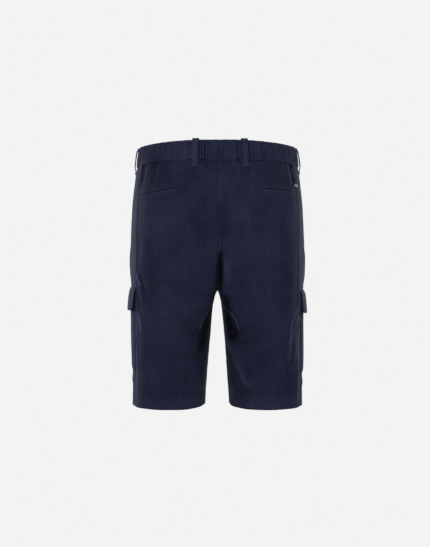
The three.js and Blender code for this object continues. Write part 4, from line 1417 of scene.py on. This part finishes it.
@dataclass
class CargoPockets:
    """The patch pockets on the sides and the flaps over them."""

    wardrobe: Wardrobe
    legs: dict[str, BVHTree]
    sheets: dict[str, BVHTree] = field(default_factory=dict)
    edges: dict[str, tuple[dict[int, float], ...]] = field(default_factory=dict)

    @staticmethod
    def rims(form: ClothMesh) -> tuple[dict[int, float], dict[int, float], dict[int, float]]:
        """Rear and fore Y by height, and lowest Z by Y, of a piece that lies on the side.

        Args:
            form: the piece in the making.

        Returns:
            The three rims, each by the number of its narrow strip.
        """
        rear: dict[int, float] = {}
        fore: dict[int, float] = {}
        foot: dict[int, float] = {}
        for v in form.bm.verts:
            p = v.co / MM
            level, along = strip_of(p.z), strip_of(p.y)
            rear[level] = min(rear.get(level, UNSET), p.y)
            fore[level] = max(fore.get(level, -UNSET), p.y)
            foot[along] = min(foot.get(along, UNSET), p.z)
        return rear, fore, foot

    def settle(self, form: ClothMesh, depth: float, reach: float) -> None:
        """Let the sewn rear, fore and lower edges sink to the cloth below them.

        Args:
            form: the pocket.
            depth: how far the rear edge sinks, in millimetres.
            reach: how wide the sinking strip is.
        """
        rear, fore, foot = self.rims(form)
        for v in form.bm.verts:
            p = v.co / MM
            level, along = strip_of(p.z), strip_of(p.y)
            sink = max(
                1.0 - smooth(0.0, reach, p.y - rear[level]),
                0.6 * (1.0 - smooth(0.0, reach, fore[level] - p.y)),
                0.6 * (1.0 - smooth(0.0, reach, p.z - foot[along])),
            )
            v.co -= form.outward(v.co).normalized() * depth * sink * MM
        form.bm.normal_update()

    def sew_top(self, form: ClothMesh, hand: str, reach: float) -> None:
        """Draw a flap's upper edge in to the leg that it is sewn to.

        Args:
            form: the flap.
            hand: the leg it hangs on, left or right.
            reach: how wide the strip is that bends inwards, in millimetres.
        """
        head: dict[int, float] = {}
        for v in form.bm.verts:
            along = strip_of(v.co.y / MM)
            head[along] = max(head.get(along, -UNSET), v.co.z / MM)
        gaps: dict[int, float] = {}
        for v in form.bm.verts:
            along = strip_of(v.co.y / MM)
            if head[along] - v.co.z / MM > 2.0:
                continue
            inward = -form.outward(v.co).normalized()
            for side in ("front", "back"):
                hit = self.legs[f"{side}_panel_{hand}"].ray_cast(v.co, inward, 6.0 * MM)
                if hit[0] is not None:
                    gaps[along] = min(gaps.get(along, 6.0), hit[3] / MM)
        for v in form.bm.verts:
            p = v.co / MM
            fade = 1.0 - smooth(0.0, reach, head[strip_of(p.y)] - p.z)
            near = [gaps[k] for k in range(strip_of(p.y) - 2, strip_of(p.y) + 3) if k in gaps]
            if near and fade > 0.0:
                sink = max(sum(near) / len(near) - 0.1, 0.0)
                v.co -= form.outward(v.co).normalized() * sink * fade * MM
        form.bm.normal_update()

    def crumple(self, form: ClothMesh, amount: float, seed: float) -> None:
        """Add soft slanting folds over the whole piece.

        Args:
            form: the piece in the making.
            amount: how far they go, in millimetres.
            seed: where the noise is read.
        """
        for v in form.bm.verts:
            p = v.co / MM
            slant = p.y * 0.6 + p.z * 0.35 + 9.0 * noise.noise(Vector((p.y / 60.0, p.z / 60.0, seed)))
            form.push(v, amount * (0.6 * math.sin(slant / 11.0 + seed)
                                   + 0.8 * wander(p.x, p.y, p.z, 27.0, seed)))
        form.bm.normal_update()

    def build(self) -> list[bpy.types.Object]:
        """Build the pockets and flaps of both legs.

        Returns:
            The pieces, in order.
        """
        made = []
        for seed, hand in enumerate(("left", "right")):
            node = f"cargo_pocket_{hand}"
            form = ClothMesh(node, 2, Cut.WHOLE, sharp=CLOSED_SHARP).take().refine()
            self.crumple(form, 0.35, 2.0 + seed)
            self.settle(form, 2.0, 8.0)
            self.edges[node] = self.rims(form)
            self.sheets[node] = BVHTree.FromBMesh(form.bm)
            piece = form.finish(f"cargo_pocket_cloth_{hand}", self.wardrobe.body)
            declare(piece, (node,))
            made.append(piece)
            node = f"cargo_flap_{hand}"
            form = ClothMesh(node, 3, Cut.WHOLE, sharp=CLOSED_SHARP).take().refine()
            self.crumple(form, 0.5, 5.0 + seed)
            self.sew_top(form, hand, 7.0)
            self.edges[node] = self.rims(form)
            self.sheets[node] = BVHTree.FromBMesh(form.bm)
            piece = form.finish(f"cargo_flap_cloth_{hand}", self.wardrobe.band)
            declare(piece, (node,))
            made.append(piece)
        return made


@dataclass
class FrontClosure:
    """The fly placket and the waist button."""

    wardrobe: Wardrobe
    sheets: dict[str, BVHTree] = field(default_factory=dict)

    def build(self) -> list[bpy.types.Object]:
        """Build the placket, the button and the thread that holds it.

        Returns:
            The pieces, in order.
        """
        form = ClothMesh("fly_placket", 2, Cut.WHOLE, sharp=CLOSED_SHARP)
        form.take().refine().weigh(0.3, 22.0, 3.3)
        self.sheets["fly_placket"] = BVHTree.FromBMesh(form.bm)
        piece = form.finish("fly_placket_cloth", self.wardrobe.body)
        declare(piece, ("fly_placket",))
        return [piece, *self.button()]

    def button(self) -> list[bpy.types.Object]:
        """A dished button with four holes and crossed thread, turned to lie as its solid does.

        Returns:
            The disc and the thread.
        """
        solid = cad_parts["waist_button"].data
        widest = max(solid.polygons, key=lambda face: face.area * (face.normal.y > 0.3))
        up = widest.normal.copy()
        low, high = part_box("waist_button")
        centre = (low + high) / 2
        turn = Matrix.Translation(centre) @ up.to_track_quat("Z", "X").to_matrix().to_4x4()
        reach = [(v.co - centre) for v in solid.vertices]
        half = max(abs(r.dot(up)) for r in reach)
        radius = max((r - up * r.dot(up)).length for r in reach) * 0.98
        profile = (
            (0.0, -1.0), (0.72, -1.0), (0.94, -0.6), (1.0, 0.1), (0.95, 0.7), (0.84, 0.98), (0.7, 0.82),
            (0.6, 0.35), (0.42, 0.25), (0.0, 0.25))
        bm = bmesh.new()
        ring = [bm.verts.new((r * radius, 0.0, z * half)) for r, z in profile]
        line = [bm.edges.new(pair) for pair in zip(ring, ring[1:])]
        bmesh.ops.spin(
            bm, geom=ring + line, cent=(0, 0, 0), axis=(0, 0, 1), dvec=(0, 0, 0), angle=math.tau, steps=40,
            use_merge=True, use_duplicate=False)
        bmesh.ops.remove_doubles(bm, verts=bm.verts[:], dist=1e-7)
        bmesh.ops.recalc_face_normals(bm, faces=bm.faces[:])
        disc = self.settle(bm, turn, "waist_button_disc", self.wardrobe.horn)
        declare(disc, ("waist_button",))
        bm = bmesh.new()
        off = 0.2 * radius
        for side in (-1, 1):
            for end in (-1, 1):
                hole = Matrix.Translation((side * off, end * off, 0.25 * half))
                bmesh.ops.create_circle(
                    bm, cap_ends=True, segments=14, radius=0.09 * radius,
                    matrix=Matrix.Translation((0, 0, 0.04 * half)) @ hole)
            bar = Matrix.Rotation(side * math.pi / 4, 4, "Z") @ Matrix.Diagonal(
                (0.3 * radius, 0.05 * radius, 0.22 * half, 1.0))
            bmesh.ops.create_uvsphere(
                bm, u_segments=10, v_segments=6, radius=1.0,
                matrix=Matrix.Translation((0, 0, 0.34 * half)) @ bar)
        thread = self.settle(bm, turn, "waist_button_thread", self.wardrobe.thread)
        declare(thread, ())
        return [disc, thread]

    @staticmethod
    def settle(bm: bmesh.types.BMesh, turn: Matrix, name: str,
               material: bpy.types.Material) -> bpy.types.Object:
        """Turn a small mesh into place and make it an object.

        Args:
            bm: the mesh in the making.
            turn: where it goes.
            name: its name.
            material: its finish.

        Returns:
            The new object.
        """
        bmesh.ops.transform(bm, matrix=turn, verts=bm.verts[:])
        return new_piece(bm, name, material)


def from_back(x: float, z: float) -> tuple[Vector, Vector]:
    """A ray from behind the shorts."""
    return Vector((x, -FAR, z)), Vector((0, 1, 0))


def from_front(x: float, z: float) -> tuple[Vector, Vector]:
    """A ray from before the shorts."""
    return Vector((x, FAR, z)), Vector((0, -1, 0))


def inwards(hub: Vector, turn: float, far: float) -> tuple[Vector, Vector]:
    """A level ray from a distance to a hub, from the side that an angle gives."""
    out = Vector((math.cos(turn), math.sin(turn), 0.0))
    return hub + out * far, -out


@dataclass
class Stitching:
    """Rows of small raised stitches, laid where rays from outside meet the cloth."""

    wardrobe: Wardrobe
    sheets: dict[str, BVHTree]
    seams: dict[str, list[Vector]]
    edges: dict[str, tuple[dict[int, float], ...]]
    pitch: float = 3.5
    half_width: float = 0.3
    half_height: float = 0.24
    back_seam: range = range(-45, -236, -3)
    front_seam: range = range(-214, -284, -3)
    fly_reach: float = 38.0
    fly_bend: float = 42.0
    fly_drop: float = 40.0
    bm: bmesh.types.BMesh = field(default_factory=bmesh.new, repr=False)
    grain: bpy.types.Mesh | None = None

    def meet(self, names: tuple[str, ...], start: Vector, aim: Vector) -> tuple[Vector, Vector] | None:
        """First place where a ray meets some of the cloth.

        Args:
            names: the nodes whose cloth counts.
            start: where the ray starts, in millimetres.
            aim: its direction.

        Returns:
            The place in millimetres and its normal towards the ray's start, or None.
        """
        best = None
        for name in names:
            place, normal, _, far = self.sheets[name].ray_cast(start * MM, aim.normalized())
            if place is not None and (best is None or far < best[2]):
                best = (place / MM, normal if normal.dot(aim) < 0 else -normal, far)
        return best and best[:2]

    def row(self, names: tuple[str, ...], rays: list[tuple[Vector, Vector]], pitch: float = 0.0,
            long: float = 1.3) -> None:
        """Lay one row of stitches along the places that a list of rays meets.

        Args:
            names: the nodes whose cloth counts.
            rays: start and direction of each ray, in order along the row.
            pitch: from one stitch to the next, in millimetres, or the usual one.
            long: half the length of a stitch.
        """
        pitch = pitch or self.pitch
        hits = [self.meet(names, *ray) for ray in rays]
        carry = 0.0
        for first, second in zip(hits, hits[1:]):
            if not first or not second:
                continue
            step = second[0] - first[0]
            if not 0.01 < step.length < 9.0:
                continue
            while carry < step.length:
                self.stitch(first[0] + step * (carry / step.length), step.normalized(), first[1], long)
                carry += pitch
            carry -= step.length

    def stitch(self, place: Vector, along: Vector, up: Vector, long: float) -> None:
        """Lay one stitch, a small rounded grain of thread.

        Args:
            place: its middle, in millimetres.
            along: the direction of the row.
            up: outwards from the cloth.
            long: half its length, in millimetres.
        """
        across = up.cross(along).normalized()
        top = along.cross(across)
        turn = Matrix((along, across, top)).transposed().to_4x4()
        size = Matrix.Diagonal((long * MM, self.half_width * MM, self.half_height * MM, 1.0))
        grain = self.grain.copy()
        grain.transform(Matrix.Translation((place + up * 0.06) * MM) @ turn @ size)
        self.bm.from_mesh(grain)
        bpy.data.meshes.remove(grain)

    @staticmethod
    def thread_grain() -> bpy.types.Mesh:
        """The shape of one stitch, a small ball that each place stretches along its row.

        Returns:
            Its mesh.
        """
        bm = bmesh.new()
        bmesh.ops.create_uvsphere(bm, u_segments=6, v_segments=4, radius=1.0)
        mesh = bpy.data.meshes.new("grain")
        bm.to_mesh(mesh)
        bm.free()
        return mesh

    def flush(self, name: str) -> bpy.types.Object:
        """Make the rows so far one piece and start afresh.

        Args:
            name: the piece's name.

        Returns:
            The piece.
        """
        piece = new_piece(self.bm, name, self.wardrobe.thread)
        declare(piece, ())
        self.bm = bmesh.new()
        return piece

    def legs(self, hand: str) -> None:
        """Centre seam, side seam, hem and pocket mouth of one half.

        Args:
            hand: the half, left or right.
        """
        side = 1.0 if hand == "right" else -1.0
        back, front = f"back_panel_{hand}", f"front_panel_{hand}"
        if side > 0:
            for off in ROW_OFFSETS:
                self.row((back,), [from_back(off, z) for z in self.back_seam])
                self.row((front,), [from_front(off, z) for z in self.front_seam])
        hub = Vector((side * 88.0, -8.0, 0.0))
        for off in ROW_OFFSETS:
            rays = []
            for edge in self.seams[back]:
                arm = Vector((edge.x - hub.x, edge.y - hub.y, 0.0))
                turn = math.atan2(arm.y, arm.x) - side * off / arm.length
                rays.append(inwards(Vector((hub.x, hub.y, edge.z)), turn, 300.0))
            self.row((back,), rays)
        hem = Vector((side * LEG_X, LEG_Y, HEM_Z + 25.0))
        self.row((back, front), [inwards(hem, math.radians(part * 2.0), 300.0) for part in range(181)])
        mouth = next(m for m in MOUTHS if m.half.value == side)
        names = (back, f"back_welt_{hand}")
        for down in MOUTH_OFFSETS:
            self.row(names, [
                from_back(side * x, mouth.level(x) - down)
                for x in range(int(mouth.x0) + 4, int(mouth.x1) - 2, 3)])
        for x in (mouth.x0 + 3.0, mouth.x1 - 3.0):
            self.row(names, [from_back(side * x, mouth.level(x) + 1 - z) for z in range(12)], 1.1, 0.8)

    def pocket(self, hand: str) -> None:
        """Double rows round the cargo pocket and its flap.

        Args:
            hand: the half, left or right.
        """
        side = 1.0 if hand == "right" else -1.0
        aim = Vector((-side, 0.0, 0.0))
        for node in (f"cargo_pocket_{hand}", f"cargo_flap_{hand}"):
            rear, fore, foot = self.edges[node]
            low, high = min(rear) + 1, max(rear) - 1
            is_flap = "flap" in node
            for off in RIM_OFFSETS:
                for rim, way in ((rear, 1.0), (fore, -1.0)):
                    self.row((node,), [
                        (Vector((side * FAR, rim[k] + way * (off + 0.6), k * RIM_STEP)), aim)
                        for k in range(low, high + 1)
                        if k in rim and k * RIM_STEP > low * RIM_STEP + off - RIM_STEP])
                start, end = min(foot) + 1 + int(off / RIM_STEP), max(foot) - 1 - int(off / RIM_STEP)
                self.row((node,), [
                    (Vector((side * FAR, k * RIM_STEP, foot[k] + off + 0.4)), aim)
                    for k in range(start, end + 1) if k in foot])
                if is_flap:
                    self.row((node,), [
                        (Vector((side * FAR, k * RIM_STEP, high * RIM_STEP + 1.0 - off)), aim)
                        for k in range(start, end + 1)])

    def band(self) -> None:
        """Rows along the band's edges, and the rows and bar tacks of the loops."""
        names = ("waistband_back", "waistband_front_left", "waistband_front_right")
        for level in (-4.0, -36.8):
            hub = Vector((0.0, -6.0, level))
            self.row(names, [inwards(hub, math.radians(part), FAR) for part in range(361)])
        for node in (name for name in self.sheets if name.startswith("belt_loop")):
            low, high = (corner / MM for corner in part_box(node))
            middle = (low + high) / 2
            out = strap_out(middle)
            if "side" in node:
                out = Vector((math.copysign(1.0, middle.x), 0.0, 0.0))
            across = Vector((-out.y, out.x, 0.0))
            for off in (-4.4, 4.4):
                self.row((node,), [
                    (Vector((middle.x, middle.y, z)) + out * 60.0 + across * off, -out)
                    for z in range(int(high.z) - 3, int(low.z) + 3, -2)], 3.0, 1.1)
            for level in (low.z + 1.4, low.z + 2.4, low.z + 3.4, high.z - 5.6, high.z - 6.6):
                self.row((node,), [
                    (Vector((middle.x, middle.y, level)) + out * 60.0 + across * off, -out)
                    for off in range(-6, 7)], 1.9, 0.9)

    def fly(self) -> None:
        """The curved double row that holds the placket."""
        low, high = (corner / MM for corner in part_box("fly_placket"))
        names = ("front_panel_left", "front_panel_right", "fly_placket")
        reach = min(self.fly_reach, high.x - low.x)
        for off in FLY_OFFSETS:
            edge = -(reach - off)
            line = [from_front(edge, z) for z in range(-45, int(low.z) + int(self.fly_bend), -3)]
            bend = low.z + self.fly_bend
            for part in range(1, 15):
                turn = math.radians(part * 6.0)
                drop = (self.fly_drop - off) * math.sin(turn)
                line.append(from_front(edge * math.cos(turn), bend - drop))
            self.row(names, line)

    def build(self) -> list[bpy.types.Object]:
        """Sew the whole garment.

        Returns:
            The pieces, in order.
        """
        made = []
        self.grain = self.thread_grain()
        for hand in ("left", "right"):
            self.legs(hand)
            made.append(self.flush(f"stitches_leg_{hand}"))
            self.pocket(hand)
            made.append(self.flush(f"stitches_pocket_{hand}"))
        self.band()
        made.append(self.flush("stitches_band"))
        self.fly()
        made.append(self.flush("stitches_fly"))
        bpy.data.meshes.remove(self.grain)
        return made


@dataclass
class Studio:
    """Pale floor, soft lights and the camera."""

    eye: tuple[float, float, float] = (-0.0052, -1.6, -0.2585)
    view_height: float = 1.1383
    sensor: float = 24.0
    floor_z: float = -1.05
    ground: float = 0.896
    aim_z: float = -0.26
    floor_size: float = 40.0

    def build(self) -> None:
        """Build the floor, the lights and the camera."""
        self.floor()
        self.lights()
        self.camera()

    def floor(self) -> None:
        """A wide pale floor that meets a sky of the same tone."""
        bm = bmesh.new()
        bmesh.ops.create_grid(bm, x_segments=8, y_segments=8, size=self.floor_size)
        bmesh.ops.translate(bm, vec=Vector((0.0, 0.0, self.floor_z)), verts=bm.verts[:])
        material = bpy.data.materials.new("pale_floor")
        material.use_nodes = True
        shader = material.node_tree.nodes["Principled BSDF"]
        shader.inputs["Base Color"].default_value = (0.0, 0.0, 0.0, 1.0)
        shader.inputs["Roughness"].default_value = 1.0
        shader.inputs["Specular IOR Level"].default_value = 0.0
        shader.inputs["Emission Color"].default_value = (1.0, 1.0, 1.0, 1.0)
        shader.inputs["Emission Strength"].default_value = self.ground
        new_piece(bm, "floor", material)

    def lights(self) -> None:
        """Even light from the room, and four soft boxes."""
        world = bpy.data.worlds.new("room")
        world.use_nodes = True
        back = world.node_tree.nodes["Background"]
        back.inputs["Color"].default_value = (1.0, 1.0, 1.0, 1.0)
        back.inputs["Strength"].default_value = self.ground
        bpy.context.scene.world = world
        boxes = (
            ("key", (-0.3, -2.3, 0.45), 1.3, 72.0),
            ("front", (0.35, 2.3, 0.5), 1.3, 68.0),
            ("side_left", (-1.65, 1.1, 0.1), 0.8, 74.0),
            ("side_right", (1.65, 1.15, 0.1), 0.8, 60.0),
        )
        for name, place, size, power in boxes:
            lamp = bpy.data.lights.new(name, "AREA")
            lamp.shape = "SQUARE"
            lamp.size = size
            lamp.energy = power
            holder = bpy.data.objects.new(name, lamp)
            aim = Vector((0.0, 0.0, self.aim_z)) - Vector(place)
            turn = aim.to_track_quat("-Z", "Y").to_matrix().to_4x4()
            holder.matrix_world = Matrix.Translation(Vector(place)) @ turn
            bpy.context.scene.collection.objects.link(holder)

    def camera(self) -> None:
        """A level camera behind the shorts."""
        lens = bpy.data.cameras.new("eye")
        lens.sensor_fit = "VERTICAL"
        lens.sensor_height = self.sensor
        lens.lens = self.sensor * -self.eye[1] / self.view_height
        holder = bpy.data.objects.new("eye", lens)
        holder.location = self.eye
        holder.rotation_euler = (math.radians(90.0), 0.0, 0.0)
        bpy.context.scene.collection.objects.link(holder)
        bpy.context.scene.camera = holder


def main() -> None:
    """Build the studio and every piece of the shorts in order."""
    logging.basicConfig(level=logging.INFO, format="%(name)s: %(message)s")
    bpy.context.scene.view_settings.view_transform = "Standard"
    Studio().build()
    wardrobe = Wardrobe()
    sheets: dict[str, BVHTree] = {}
    groups = (
        BodyPanels(wardrobe),
        Waistband(wardrobe),
        BeltLoops(wardrobe),
        BackPockets(wardrobe),
        CargoPockets(wardrobe, sheets),
        FrontClosure(wardrobe),
    )
    for group in groups:
        for piece in group.build():
            LOG.info("%s: %d vertices", piece.name, len(piece.data.vertices))
        sheets.update(group.sheets)
    body, pockets = groups[0], groups[4]
    for piece in Stitching(wardrobe, sheets, body.seams, pockets.edges).build():
        LOG.info("%s: %d vertices", piece.name, len(piece.data.vertices))


if __name__ == "__main__":
    main()
